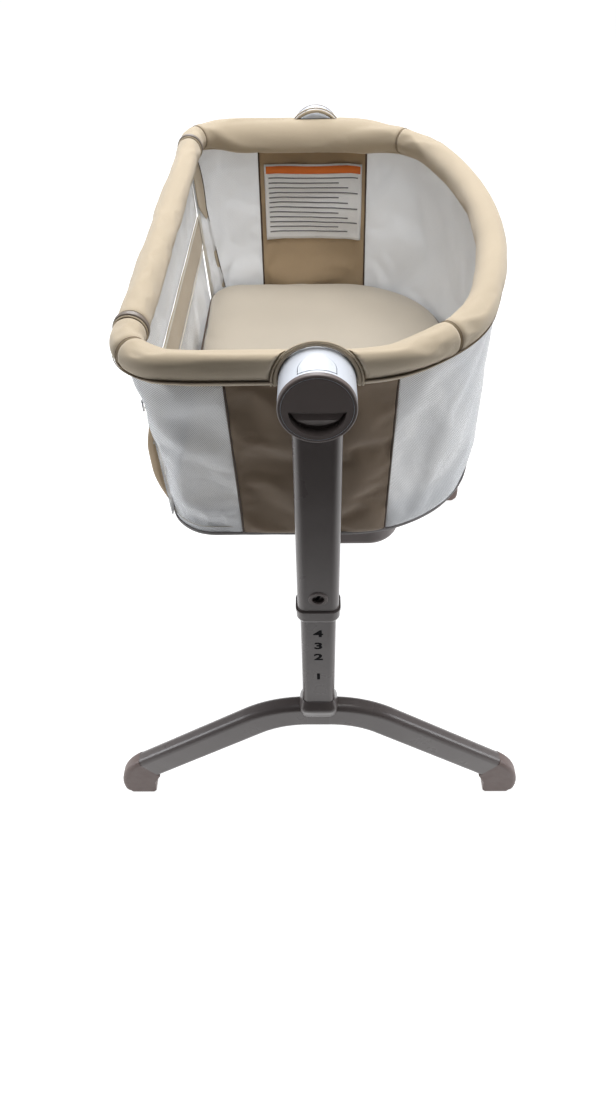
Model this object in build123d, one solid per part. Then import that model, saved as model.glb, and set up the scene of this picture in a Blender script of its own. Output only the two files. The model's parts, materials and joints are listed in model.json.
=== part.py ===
from build123d import *
import os
from math import atan2, cos, degrees, radians, sin, sqrt

os.makedirs("parts", exist_ok=True)

# Bedside bassinet hung between two height-adjustable posts. Millimetres, +Z up, origin on the floor under the
# middle. Y runs from the front end (-Y) to the rear end (+Y). -X is the straight side that drops, +X the bowed side.
# Every end part is built once for the front and mirrored for the rear.

# ---- driving sizes ----------------------------------------------------------------------------------------
HUB_Z = 860.0            # height of the swing axis, highest setting
HUB_R = 41.5             # hub housing radius
HUB_OUT = 430.0          # |Y| of the hub cap's face
HUB_IN = 374.0           # |Y| of the housing's inner face
HUB_WALL = 3.0
CAP_THICK = 6.0
AXLE_R, BUSH_R = 5.0, 7.0
BUTTON_W, BUTTON_IN, BUTTON_OUT, BUTTON_GAP = 40.0, 392.0, 421.0, 0.7
SCOOP_R, SCOOP_TOP, SCOOP_BACK = 30.0, 858.0, 417.5
PADDLE_AXIS_Y, PADDLE_AXIS_Z = 424.5, 855.0
PADDLE_PIVOT, PADDLE_BORE, PADDLE_DROP, PADDLE_CREASE = 1.8, 1.86, 19.5, 11.0
POST_Y = 396.0           # |Y| of both posts' centre
TRAVEL = 183.0           # seven settings, six steps of 30.5

UPPER_W, UPPER_D, UPPER_R = 56.0, 36.0, 11.0
LOWER_W, LOWER_D, LOWER_R = 49.0, 29.0, 9.0
POST_WALL = 2.0
UPPER_BOTTOM, UPPER_TOP = 504.0, 832.0
LOWER_BOTTOM, LOWER_TOP = 236.0, 622.0
COLLAR_BOTTOM, COLLAR_TOP = 498.0, 521.0
WINDOW_Z = 548.0
PIN_Z = 574.0
SLIDE_GAP = 0.3          # all round, between the collar's bore and the lower post

FOOT_HALF = 356.0        # half the span of a foot over its shoes
FOOT_TALL, FOOT_DEEP, FOOT_R, FOOT_WALL = 54.0, 28.0, 10.0, 2.5
FOOT_TOP = 278.0
FOOT_KNEE_X = 67.0       # where the level middle meets the sloping leg, before the bend
FOOT_END_X, FOOT_END_Z = 300.0, 80.4
FOOT_BEND = 150.0
PAD_RISE = 2.0           # rubber pad below the shoe
POST_BOLT_X, POST_BOLT_R, POST_BOLT_HEAD = 9.0, 4.0, 6.5

RIM_Z = 876.0
RIM_TUBE_R = 8.0
PAD_R = 20.0
PAD_BORE = 8.5
RIM = dict(left=-209.0, right=233.0, half=365.0, rc=48.0, rb=760.0, re=175.0)   # rim tube's centre line
RING_Y = 290.0           # |Y| where the drop rail meets the corner rings
RING_LONG = 7.0
CORNER_SEAM = 50.0       # degrees of the corner bend under the corner cover
SIDE_SEAM = 41.5         # degrees of the end bend under the end cover
ARCH_R, ARCH_OUT = 48.0, 381.0
BRACKET_HALF, BRACKET_OUT, BRACKET_IN, BRACKET_LOW = 28.0, 371.0, 352.0, 849.0

WALL = 2.0
WALL_TOP, WALL_BOTTOM = 858.0, 580.0
WALL_TOP_D = dict(left=-213.0, right=237.0, half=369.0, rc=52.0, rb=764.0, re=179.0)
WALL_BOTTOM_D = dict(left=-203.0, right=244.0, half=322.0, rc=62.0, rb=720.0, re=185.0)
PANEL_LEFT, PANEL_RIGHT = -101.0, 93.0      # opaque end panel's edges
STRIP_BOTTOM, STRIP_TOP = 710.0, 766.5      # hem band that the drop side hinges on
DROP_HALF = 284.0
FOLD_X, FOLD_Z, BEAD_R = -211.4, 767.0, 2.2  # cord that the drop side folds about
ZIP_WIDE = 5.0

FRAME_R, FRAME_Z = 6.0, 585.5
BOARD_THICK = 4.0
MATTRESS_TOP = 628.0
POD_X, POD_Y, POD_LOW = (-12.0, 117.0), (-303.0, -196.0), 533.0


# ---- helpers ----------------------------------------------------------------------------------------------
def block(x, y, z):
    """Box from three (low, high) pairs."""
    return Pos((x[0] + x[1]) / 2, (y[0] + y[1]) / 2, (z[0] + z[1]) / 2) * Box(
        x[1] - x[0], y[1] - y[0], z[1] - z[0])


def rod_y(r, y0, y1, x=0.0, z=HUB_Z):
    """Cylinder along Y."""
    return Pos(x, (y0 + y1) / 2, z) * Rot(90, 0, 0) * Cylinder(r, abs(y1 - y0))


def rod_x(r, x0, x1, y, z):
    """Cylinder along X."""
    return Pos((x0 + x1) / 2, y, z) * Rot(0, 90, 0) * Cylinder(r, abs(x1 - x0))


def rod_z(r, z0, z1, x, y):
    """Cylinder along Z."""
    return Pos(x, y, (z0 + z1) / 2) * Cylinder(r, abs(z1 - z0))


def bar(w, d, r, z0, z1, y=-POST_Y):
    """Upright bar with a rounded rectangular section."""
    return extrude(Pos(0, y, z0) * RectangleRounded(w, d, r), z1 - z0)


def grown(d, by):
    """The same D outline, offset outwards."""
    return dict(left=d["left"] - by, right=d["right"] + by, half=d["half"] + by,
                rc=d["rc"] + by, rb=d["rb"] + by, re=d["re"] + by)


def on_circle(cx, cy, r, deg, z):
    return Vector(cx + r * cos(radians(deg)), cy + r * sin(radians(deg)), z)


def arc(cx, cy, r, a0, a1, z):
    """Arc in plan about (cx, cy), from a0 to a1 degrees."""
    return ThreePointArc(on_circle(cx, cy, r, a0, z), on_circle(cx, cy, r, (a0 + a1) / 2, z),
                         on_circle(cx, cy, r, a1, z))


def d_centres(d):
    """Centres of the bowed side and of the end bend, and the angle where they meet."""
    bow_x = d["right"] - d["rb"]
    bend_y = d["half"] - d["re"]
    bend_x = bow_x + sqrt((d["rb"] - d["re"]) ** 2 - bend_y ** 2)
    return bow_x, bend_x, bend_y, degrees(atan2(bend_y, bend_x - bow_x))


def d_face(d, z):
    """Closed D outline: straight left side, two tight corners, bowed right side."""
    bow_x, bend_x, bend_y, meet = d_centres(d)
    corner_x, corner_y = d["left"] + d["rc"], d["half"] - d["rc"]
    edges = [
        Line((d["left"], corner_y, z), (d["left"], -corner_y, z)),
        arc(corner_x, -corner_y, d["rc"], 180, 270, z),
        Line((corner_x, -d["half"], z), (bend_x, -d["half"], z)),
        arc(bend_x, -bend_y, d["re"], -90, -meet, z),
        arc(bow_x, 0, d["rb"], -meet, meet, z),
        arc(bend_x, bend_y, d["re"], meet, 90, z),
        Line((bend_x, d["half"], z), (corner_x, d["half"], z)),
        arc(corner_x, corner_y, d["rc"], 90, 180, z),
    ]
    return make_face(Wire(edges))


def d_slab(d, z0, z1):
    return extrude(d_face(d, z0), z1 - z0)


def tube_along(edges, r, hole=0.0):
    """Round bar, or tube, along joined edges."""
    path = Wire(edges)
    start = path @ 0
    plane = Plane(origin=start, z_dir=path % 0)
    solid = sweep(plane * Circle(r), path=path)
    if hole:
        solid -= sweep(plane * Circle(hole), path=path)
    return solid


def rear(shape):
    return mirror(shape, about=Plane.XZ)


def rear_edges(edges):
    return [rear(e).edges()[0] for e in reversed(edges)]


def save(name, *shapes):
    solids = [s for shape in shapes for s in shape.solids()]
    shape = solids[0] if len(solids) == 1 else Compound(children=solids)
    shape.label = name
    export_step(shape, f"parts/{name}.step")


def save_both(name, shape):
    """One node at each end."""
    save(f"front_{name}", shape)
    save(f"rear_{name}", rear(shape))


# ---- stand: feet and lower posts --------------------------------------------------------------------------
def foot_line():
    level = FOOT_TOP - FOOT_TALL / 2
    return FilletPolyline((-FOOT_END_X, -POST_Y, FOOT_END_Z), (-FOOT_KNEE_X, -POST_Y, level),
                          (FOOT_KNEE_X, -POST_Y, level), (FOOT_END_X, -POST_Y, FOOT_END_Z), radius=FOOT_BEND)


def foot_section(tall, deep, r):
    line = foot_line()
    plane = Plane(origin=line @ 0, x_dir=(0, 1, 0), z_dir=line % 0)
    return sweep(plane * RectangleRounded(deep, tall, r), path=line)


def foot_tube():
    inner = FOOT_WALL * 2
    tube = foot_section(FOOT_TALL, FOOT_DEEP, FOOT_R)
    tube -= foot_section(FOOT_TALL - inner, FOOT_DEEP - inner, FOOT_R - FOOT_WALL)
    socket = bar(LOWER_W, LOWER_D, LOWER_R, LOWER_BOTTOM, FOOT_TOP + 5)
    for x in (-POST_BOLT_X, POST_BOLT_X):
        tube -= rod_z(POST_BOLT_R + 0.3, FOOT_TOP - FOOT_TALL - 5, FOOT_TOP - FOOT_TALL / 2, x, -POST_Y)
    return tube - socket


def post_plug():
    """Threaded block in the lower post's end, so the two bolts have something to pull on."""
    inner = 2 * POST_WALL
    plug = bar(LOWER_W - inner, LOWER_D - inner, LOWER_R - POST_WALL, LOWER_BOTTOM, LOWER_BOTTOM + 26)
    for x in (-POST_BOLT_X, POST_BOLT_X):
        plug -= rod_z(POST_BOLT_R, LOWER_BOTTOM - 5, LOWER_BOTTOM + 40, x, -POST_Y)
    return plug


def post_bolt(x):
    underside = FOOT_TOP - FOOT_TALL
    head = rod_z(POST_BOLT_HEAD, underside - 4, underside, x, -POST_Y)
    head -= extrude(Pos(x, -POST_Y, underside - 5) * RegularPolygon(3.0, 6), 3.5)
    return head + rod_z(POST_BOLT_R, underside, LOWER_BOTTOM + 24, x, -POST_Y)


def leg_direction():
    run, fall = FOOT_END_X - FOOT_KNEE_X, FOOT_TOP - FOOT_TALL / 2 - FOOT_END_Z
    length = sqrt(run ** 2 + fall ** 2)
    return run / length, fall / length


def foot_shoe():
    """Moulded end cap of a foot: carries the leg's top line round to a short flat sole."""
    along, down = leg_direction()
    half = FOOT_TALL / 2
    top = (FOOT_END_X + half * down, FOOT_END_Z + half * along)
    low = (FOOT_END_X - half * down, FOOT_END_Z - half * along)
    r = (FOOT_HALF - top[0]) / (1 - down)
    cx, cz = FOOT_HALF - r, top[1] - r * along
    turn = degrees(atan2(along, down))
    mid = (cx + r * cos(radians(turn / 2)), cz + r * sin(radians(turn / 2)))

    def p(x, z):
        return (x, -POST_Y, z)

    heel_x, toe_x = FOOT_HALF - 56.0, FOOT_HALF - 8.0
    outline = Wire([
        ThreePointArc(p(*top), p(*mid), p(FOOT_HALF, cz)),
        Spline(p(FOOT_HALF, cz), p(toe_x, PAD_RISE), tangents=[(0, 0, -1), (-1, 0, -0.35)]),
        Line(p(toe_x, PAD_RISE), p(heel_x + 3, PAD_RISE)),
        Line(p(heel_x + 3, PAD_RISE), p(heel_x - 2, PAD_RISE + 6)),
        Line(p(heel_x - 2, PAD_RISE + 6), p(heel_x - 4, 36)),
        Line(p(heel_x - 4, 36), p(*low)),
        Line(p(*low), p(*top)),
    ])
    shoe = extrude(make_face(outline), FOOT_DEEP / 2, dir=(0, 1, 0), both=True)
    outer = [e for e in shoe.edges() if abs(abs(e.center().Y + POST_Y) - FOOT_DEEP / 2) < 0.1
             and (e.center().X > FOOT_END_X + 20 and e.center().Z > 12)]
    shoe = fillet(outer, 8.0)
    spigot = foot_spigot()
    return shoe + spigot - rubber_block(-1.0)


def foot_spigot():
    """The part of a shoe that plugs into the tube."""
    along, down = leg_direction()
    plane = Plane(origin=(FOOT_END_X, -POST_Y, FOOT_END_Z), x_dir=(0, 1, 0), z_dir=(-along, 0, down))
    gap = 2 * FOOT_WALL
    return extrude(plane * RectangleRounded(FOOT_DEEP - gap, FOOT_TALL - gap, FOOT_R - FOOT_WALL), 22)


def rubber_block(bottom):
    """A rubber pad's block, and the pocket it is glued into."""
    return block((FOOT_HALF - 50, FOOT_HALF - 13), (-POST_Y - 9, -POST_Y + 9), (bottom, PAD_RISE + 4))


def lower_post():
    post = bar(LOWER_W, LOWER_D, LOWER_R, LOWER_BOTTOM, LOWER_TOP)
    inner = 2 * POST_WALL
    post -= bar(LOWER_W - inner, LOWER_D - inner, LOWER_R - POST_WALL, LOWER_BOTTOM - 1, LOWER_TOP + 1)
    slot = block((-4.5, 4.5), (-POST_Y + 8, -POST_Y + 20), (PIN_Z - TRAVEL - 7, PIN_Z + 7))
    return post - slot


# ---- sliding upper posts ----------------------------------------------------------------------------------
def upper_post():
    post = bar(UPPER_W, UPPER_D, UPPER_R, UPPER_BOTTOM, UPPER_TOP)
    inner = 2 * POST_WALL
    post -= bar(UPPER_W - inner, UPPER_D - inner, UPPER_R - POST_WALL, UPPER_BOTTOM - 1, UPPER_TOP + 1)
    post -= rod_y(10.0, -POST_Y - 30, -POST_Y, z=WINDOW_Z)
    return post - rod_y(4.1, -POST_Y, -POST_Y + 30, z=PIN_Z)


def post_collar():
    """Bush and trim at the upper post's mouth, with a proud lip on top and a tapered skirt."""
    collar = bar(61, 41, 13, COLLAR_TOP - 4, COLLAR_TOP) + bar(59, 39, 12.5, COLLAR_BOTTOM + 6, COLLAR_TOP - 4)
    skirt_top = Pos(0, -POST_Y, COLLAR_BOTTOM + 6) * RectangleRounded(59, 39, 12.5)
    skirt_low = Pos(0, -POST_Y, COLLAR_BOTTOM) * RectangleRounded(54, 34, 11.0)
    collar += loft([skirt_low, skirt_top])
    collar -= bar(UPPER_W, UPPER_D, UPPER_R, UPPER_BOTTOM, COLLAR_TOP + 1)
    gap = 2 * SLIDE_GAP
    return collar - bar(LOWER_W + gap, LOWER_D + gap, LOWER_R + SLIDE_GAP, COLLAR_BOTTOM - 1, COLLAR_TOP + 1)


def window_ring():
    face = -POST_Y - UPPER_D / 2
    ring = rod_y(13.0, face - 1.6, face, z=WINDOW_Z) + rod_y(10.0, face, face + POST_WALL, z=WINDOW_Z)
    ring = chamfer(ring.edges().filter_by(GeomType.CIRCLE).sort_by(Axis.Y)[0:1], 1.0)
    return ring - rod_y(8.2, face - 4, face + 6, z=WINDOW_Z)


def lock_pin():
    shaft = rod_y(3.8, -POST_Y + 4, -POST_Y + UPPER_D / 2 - 0.5, z=PIN_Z)
    return shaft + rod_y(6.5, -POST_Y + 1, -POST_Y + 4, z=PIN_Z)


# ---- hubs -------------------------------------------------------------------------------------------------
def button_outline(shrink=0.0):
    """Half-moon in plan, straight edge outwards."""
    r = BUTTON_W / 2
    round_y = -(BUTTON_IN + r)
    moon = Pos(0, round_y, 0) * Circle(r - shrink)
    moon += Pos(0, (round_y - BUTTON_OUT) / 2, 0) * Rectangle(BUTTON_W - 2 * shrink, BUTTON_OUT + round_y)
    below = Pos(0, -(BUTTON_OUT - shrink) - 50, 0) * Rectangle(200, 100)
    return moon - below


def hub_housing():
    end = HUB_OUT - CAP_THICK
    shell = rod_y(HUB_R, -end, -HUB_IN)
    shell = fillet(shell.edges().filter_by(GeomType.CIRCLE).sort_by(Axis.Y)[-1:], 1.5)
    shell -= rod_y(HUB_R - HUB_WALL, -end - 1, -HUB_IN - HUB_WALL)
    shell -= bar(UPPER_W, UPPER_D, UPPER_R, HUB_Z - 60, HUB_Z)
    shell -= extrude(Pos(0, 0, HUB_Z + 20) * button_outline(), 40)
    for x in (-BUTTON_W / 2 - 4, BUTTON_W / 2 + 1):
        shell += block((x, x + 3), (-412, -HUB_IN - 1), (HUB_Z + 14, HUB_Z + 26))
    seat = block((-14, 14), (-413, -HUB_IN - 1), (HUB_Z + 14, HUB_Z + 17))
    shell += seat & rod_y(HUB_R - 1, -end, -HUB_IN)
    return shell - rod_y(AXLE_R, -400, -300)


def hub_axle():
    """Shouldered pin through the housing's inner wall, with a retaining head beyond the bracket."""
    wall = HUB_IN + HUB_WALL
    axle = rod_y(AXLE_R, -wall, -349.0) + rod_y(9.0, -wall - 4, -wall)
    return axle + rod_y(6.4, -350.0, -346.5)


def swing_button():
    plan = extrude(Pos(0, 0, HUB_Z + 28) * button_outline(BUTTON_GAP), 30)
    crown = plan & rod_y(HUB_R + 0.4, -HUB_OUT, -HUB_IN)
    stem = rod_z(4.0, HUB_Z + 21.5, HUB_Z + 30, 0, -405)
    return crown + stem


def button_spring():
    """Compression spring under the button."""
    low, high = HUB_Z + 17.2, HUB_Z + 27.6
    turns = 4
    height = high - low - 1.0
    helix = Pos(0, -405, low + 0.5) * Helix(pitch=height / turns, height=height, radius=5.4)
    plane = Plane(origin=helix @ 0, z_dir=helix % 0)
    return sweep(plane * Circle(0.45), path=helix)


def scoop_face(r):
    """Half disc in the XZ plane, straight edge on top."""
    disc = Plane.XZ * Pos(0, SCOOP_TOP, 0) * Circle(r)
    above = Plane.XZ * Pos(0, SCOOP_TOP + 50, 0) * Rectangle(200, 100)
    return disc - above


def scoop(r, y0, y1):
    """Half-disc prism between two depths, y0 outermost."""
    return Pos(0, y1, 0) * extrude(scoop_face(r), abs(y1 - y0))


def hub_cap():
    """Face disc with a half-moon finger scoop and the two bores that the paddle hangs in."""
    back = HUB_OUT - CAP_THICK
    disc = rod_y(HUB_R, -HUB_OUT, -back)
    disc = fillet(disc.edges().filter_by(GeomType.CIRCLE).sort_by(Axis.Y)[0:1], 1.8)
    groove = rod_y(38.0, -HUB_OUT - 1, -HUB_OUT + 0.8) - rod_y(37.0, -HUB_OUT - 1, -HUB_OUT + 0.8)
    bore = HUB_R - HUB_WALL
    spigot = rod_y(bore - 0.2, -back, -back + 3) - rod_y(bore - 2.4, -back - 1, -back + 4)
    cup = scoop(SCOOP_R + 2.5, -back, -SCOOP_BACK + 2)
    cap = disc - groove + spigot + cup
    cap -= scoop(SCOOP_R, -HUB_OUT - 1, -SCOOP_BACK)
    return cap - rod_x(PADDLE_BORE, -33, 33, -PADDLE_AXIS_Y, PADDLE_AXIS_Z)


def lift_paddle():
    """Finger paddle: half-moon leaf folded along a crease, on moulded trunnions along its top edge."""
    top = SCOOP_TOP - 0.9
    bottom = top - PADDLE_DROP
    chord = SCOOP_R - 1.4
    r = (chord ** 2 + PADDLE_DROP ** 2) / (2 * PADDLE_DROP)
    moon = Plane.XZ * Pos(0, bottom + r, 0) * Circle(r)
    above = Plane.XZ * Pos(0, top + 100, 0) * Rectangle(300, 200)
    leaf = Pos(0, -418, 0) * extrude(moon - above, 14)
    leaf &= rod_y(SCOOP_R - 0.5, -440, -400, z=SCOOP_TOP)
    profile = ((1.9, top), (-0.5, top), (-3.1, top - PADDLE_CREASE), (-0.1, bottom - 1), (2.3, bottom - 1))
    fold = [(0, y - PADDLE_AXIS_Y, z) for y, z in profile]
    wedge = extrude(make_face(Polyline(*fold, close=True)), 40, dir=(1, 0, 0), both=True)
    return (leaf & wedge) + rod_x(PADDLE_PIVOT, -31.5, 31.5, -PADDLE_AXIS_Y, PADDLE_AXIS_Z)


# ---- bassinet frame ---------------------------------------------------------------------------------------
def rim_edges(part, z=RIM_Z):
    """Front half's share of the rim line: corner, end or side."""
    bow_x, bend_x, bend_y, meet = d_centres(RIM)
    corner_x, corner_y = RIM["left"] + RIM["rc"], RIM["half"] - RIM["rc"]
    left, half, rc, re = RIM["left"], RIM["half"], RIM["rc"], RIM["re"]
    seam = 180 + CORNER_SEAM
    side = -90 + SIDE_SEAM
    if part == "corner":
        return [Line((left, -RING_Y - RING_LONG, z), (left, -corner_y, z)),
                arc(corner_x, -corner_y, rc, 180, seam, z)]
    if part == "end":
        return [arc(corner_x, -corner_y, rc, seam, 270, z), Line((corner_x, -half, z), (bend_x, -half, z)),
                arc(bend_x, -bend_y, re, -90, side, z)]
    return [arc(bend_x, -bend_y, re, side, -meet, z), arc(bow_x, 0, RIM["rb"], -meet, meet, z),
            arc(bend_x, bend_y, re, meet, -side, z)]


def rim_tube():
    front = [Line((RIM["left"], -RING_Y - 1, RIM_Z), (RIM["left"], -RING_Y - RING_LONG, RIM_Z))]
    front += rim_edges("corner") + rim_edges("end")
    return tube_along(front + rim_edges("side") + rear_edges(front), RIM_TUBE_R, RIM_TUBE_R - 1.5)


def rail_sockets():
    socket = rod_y(PAD_R + 0.8, -RING_Y - RING_LONG, -RING_Y, RIM["left"], RIM_Z)
    socket = fillet(socket.edges().filter_by(GeomType.CIRCLE), 1.0)
    return socket - rod_y(RIM_TUBE_R, -400, -200, RIM["left"], RIM_Z)


def hub_bracket():
    plate = block((-BRACKET_HALF, BRACKET_HALF), (-BRACKET_OUT, -BRACKET_IN), (BRACKET_LOW, RIM_Z))
    plate = fillet(plate.edges().filter_by(Axis.Y).sort_by(Axis.Z)[0:2], 8.0)
    plate -= rod_x(RIM_TUBE_R, -50, 50, -RIM["half"], RIM_Z)
    return plate - rod_y(BUSH_R, -400, -300)


def hub_bush():
    bush = rod_y(BUSH_R, -BRACKET_OUT - 1.5, -BRACKET_IN)
    return bush - rod_y(AXLE_R + 0.06, -400, -300)


def frame_room():
    """What the end cover leaves free for the bracket, the axle and the hub."""
    room = block((-BRACKET_HALF - 0.5, BRACKET_HALF + 0.5), (-HUB_IN - 5, -330), (BRACKET_LOW - 5, RIM_Z + 0.5))
    return room + rod_y(ARCH_R + 0.1, -430, -HUB_IN + 0.5)


def pad(part):
    return tube_along(rim_edges(part), PAD_R, PAD_BORE)


def end_pad():
    return pad("end") - frame_room()


def pad_arch():
    """Piped fabric arch that closes the end cover round the hub."""
    arch = rod_y(ARCH_R, -ARCH_OUT, -HUB_IN - 0.4) - rod_y(HUB_R + 1.0, -400, -360)
    return arch & block((-80, 80), (-400, -350), (HUB_Z - 4, HUB_Z + 80))


def lower_frame():
    d = dict(left=-193.5, right=234.5, half=312.5, rc=52.0, rb=710.5, re=175.5)
    wire = d_face(d, FRAME_Z).face().outer_wire()
    plane = Plane(origin=wire @ 0, z_dir=wire % 0)
    return sweep(plane * Circle(FRAME_R), path=wire) - sweep(plane * Circle(FRAME_R - 1.5), path=wire)


def floor_board():
    d = dict(left=-192.0, right=233.0, half=311.0, rc=50.0, rb=709.0, re=174.0)
    return d_slab(d, FRAME_Z + FRAME_R, FRAME_Z + FRAME_R + BOARD_THICK)


def mattress():
    slab = d_slab(grown(WALL_BOTTOM_D, -WALL - 2.0), FRAME_Z + FRAME_R + BOARD_THICK, MATTRESS_TOP)
    return fillet(slab.edges().group_by(Axis.Z)[-1], 9.0)


# ---- bassinet skin ----------------------------------------------------------------------------------------
def wall_core(by):
    """Everything inside the walls, drawn in by a distance."""
    low, high = d_face(grown(WALL_BOTTOM_D, -by), WALL_BOTTOM), d_face(grown(WALL_TOP_D, -by), WALL_TOP)
    return loft([low, high], ruled=True)


INSIDE = wall_core(WALL)
SHELL = wall_core(0.0) - INSIDE      # the whole fabric wall, cut into panels below


def end_panel():
    zone = block((PANEL_LEFT, PANEL_RIGHT), (-500, -250), (WALL_BOTTOM, WALL_TOP))
    room = block((-BRACKET_HALF - 1, BRACKET_HALF + 1), (-500, -300), (BRACKET_LOW - 6, WALL_TOP + 10))
    return (SHELL & zone) - room - tube_along(rim_edges("end"), PAD_R + 0.1)


def corner_mesh():
    zone = block((-300, PANEL_LEFT), (-500, -DROP_HALF - ZIP_WIDE), (WALL_BOTTOM, WALL_TOP))
    cut = SHELL & zone
    for part in ("corner", "end"):
        cut -= tube_along(rim_edges(part), PAD_R + 0.1)
    return cut - rod_y(PAD_R + 1.4, -RING_Y - RING_LONG - 1, -RING_Y + 1, RIM["left"], RIM_Z)


def side_mesh():
    zone = block((PANEL_RIGHT, 300), (-500, 500), (WALL_BOTTOM, WALL_TOP))
    cut = SHELL & zone
    for cutter in (rim_edges("end"), rim_edges("side"), rear_edges(rim_edges("end"))):
        cut -= tube_along(cutter, PAD_R + 0.1)
    return cut


def left_zone(z0, z1, y0=-DROP_HALF, y1=DROP_HALF):
    return block((-300, -150), (y0, y1), (z0, z1))


def lower_side_mesh():
    ends = DROP_HALF + ZIP_WIDE
    return SHELL & left_zone(WALL_BOTTOM, STRIP_BOTTOM, -ends, ends)


def side_strip():
    ends = DROP_HALF + ZIP_WIDE
    band = SHELL & left_zone(STRIP_BOTTOM, STRIP_TOP, -ends, ends)
    return band - rod_y(BEAD_R + 0.1, -ends - 1, ends + 1, FOLD_X, FOLD_Z)


def side_zips():
    """Closed zip along each end of the drop side."""
    zone = left_zone(STRIP_TOP, WALL_TOP - 3, -DROP_HALF - ZIP_WIDE, -DROP_HALF - 0.4)
    return (SHELL & zone) - rod_y(PAD_R + 1.4, -400, -200, RIM["left"], RIM_Z)


def drop_mesh():
    """Mesh of the drop side, with the cord along its lower hem."""
    cloth = SHELL & left_zone(STRIP_TOP + 1.0, WALL_TOP)
    cloth -= rod_y(PAD_R + 0.1, -400, 400, RIM["left"], RIM_Z)
    return cloth + rod_y(BEAD_R, -DROP_HALF, DROP_HALF, FOLD_X, FOLD_Z)


def rail_tube():
    half = RING_Y - 1.5
    tube = rod_y(RIM_TUBE_R, -half, half, RIM["left"], RIM_Z)
    return tube - rod_y(RIM_TUBE_R - 1.5, -half - 1, half + 1, RIM["left"], RIM_Z)


def rail_pad():
    half = RING_Y - 2.0
    foam = rod_y(PAD_R, -half, half, RIM["left"], RIM_Z)
    return foam - rod_y(PAD_BORE, -half - 1, half + 1, RIM["left"], RIM_Z)


def storage_pocket():
    """Gathered pocket on the outside of the lower side: bellied front, open top."""
    y0, y1, z0, z1 = -235.0, 150.0, 562.0, 722.0
    x_back = -210.0

    def profile(out, low, back):
        return Wire([
            Line((back, y0, low), (back, y0, z1)),
            Line((back, y0, z1), (back - out * 0.6, y0, z1)),
            Spline((back - out * 0.6, y0, z1), (back - out, y0, (z0 + z1) / 2 - 20), (back - out * 0.55, y0, low),
                   tangents=[(-0.3, 0, -1), (1, 0, -0.7)]),
            Line((back - out * 0.55, y0, low), (back, y0, low)),
        ])

    outer = extrude(make_face(profile(20.0, z0, x_back)), y1 - y0, dir=(0, 1, 0))
    hollow = extrude(make_face(profile(17.0, z0 + 2.5, x_back - 1.2)), y1 - y0 - 5, dir=(0, 1, 0))
    hollow = Pos(0, 2.5, 0) * hollow
    mouth = block((x_back - 10.0, x_back - 1.2), (y0 + 2.5, y1 - 2.5), (z1 - 8, z1 + 5))
    return outer - hollow - mouth


def safety_label():
    """Blank sewn patch inside the rear end."""
    zone = block((-92, 82), (250, 500), (699, 826))
    return (INSIDE & zone) - wall_core(WALL + 0.8)


def bottom_fabric():
    return d_slab(WALL_BOTTOM_D, WALL_BOTTOM - 1.6, WALL_BOTTOM)


def floor_pod():
    """Shallow moulded box screwed under the floor at the front end."""
    high = WALL_BOTTOM - 1.6
    body = block(POD_X, POD_Y, (POD_LOW, high))
    body = fillet(body.edges().filter_by(Axis.Z), 46.0)
    body = fillet(body.edges().group_by(Axis.Z)[0], 12.0)
    inner = block((POD_X[0] + 3, POD_X[1] - 3), (POD_Y[0] + 3, POD_Y[1] - 3), (POD_LOW + 3, high + 1))
    inner = fillet(inner.edges().filter_by(Axis.Z), 43.0)
    inner = fillet(inner.edges().group_by(Axis.Z)[0], 9.0)
    return body - inner


# ---- write every node -------------------------------------------------------------------------------------
save_both("foot_tube", foot_tube())
save_both("post_plug", post_plug())
save_both("lower_post", lower_post())
shoe, sole = foot_shoe(), rubber_block(0.0)
shoes = [shoe, mirror(shoe, about=Plane.YZ)]
save("foot_shoes", *shoes, *[rear(s) for s in shoes])
soles = [sole, mirror(sole, about=Plane.YZ)]
save("foot_pads", *soles, *[rear(s) for s in soles])
bolts = [post_bolt(x) for x in (-POST_BOLT_X, POST_BOLT_X)]
save("post_bolts", *bolts, *[rear(b) for b in bolts])

save_both("upper_post", upper_post())
save_both("post_collar", post_collar())
save_both("window_ring", window_ring())
save_both("lock_pin", lock_pin())
save_both("hub_housing", hub_housing())
save_both("hub_axle", hub_axle())
save_both("hub_cap", hub_cap())
save_both("lift_paddle", lift_paddle())
save_both("swing_button", swing_button())
save_both("button_spring", button_spring())

save("rim_tube", rim_tube())
sockets = rail_sockets()
save("rail_sockets", sockets, rear(sockets))
save_both("hub_bracket", hub_bracket())
save_both("hub_bush", hub_bush())
save_both("end_pad", end_pad())
save_both("corner_pad", pad("corner"))
save("side_pad", pad("side"))
save_both("pad_arch", pad_arch())
save("lower_frame", lower_frame())
save("floor_board", floor_board())
save("mattress", mattress())

save_both("end_panel", end_panel())
save_both("corner_mesh", corner_mesh())
save("side_mesh", side_mesh())
save("lower_side_mesh", lower_side_mesh())
save("side_strip", side_strip())
zips = side_zips()
save("side_zips", zips, rear(zips))
save("storage_pocket", storage_pocket())
save("safety_label", safety_label())
save("bottom_fabric", bottom_fabric())
save("floor_pod", floor_pod())

save("rail_tube", rail_tube())
save("rail_pad", rail_pad())
save("drop_mesh", drop_mesh())
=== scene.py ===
"""Looks of the bassinet on stand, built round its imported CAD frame."""

import json
import math

import bpy
import numpy as np
from mathutils import Matrix, Vector, noise
from mathutils.bvhtree import BVHTree


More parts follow.
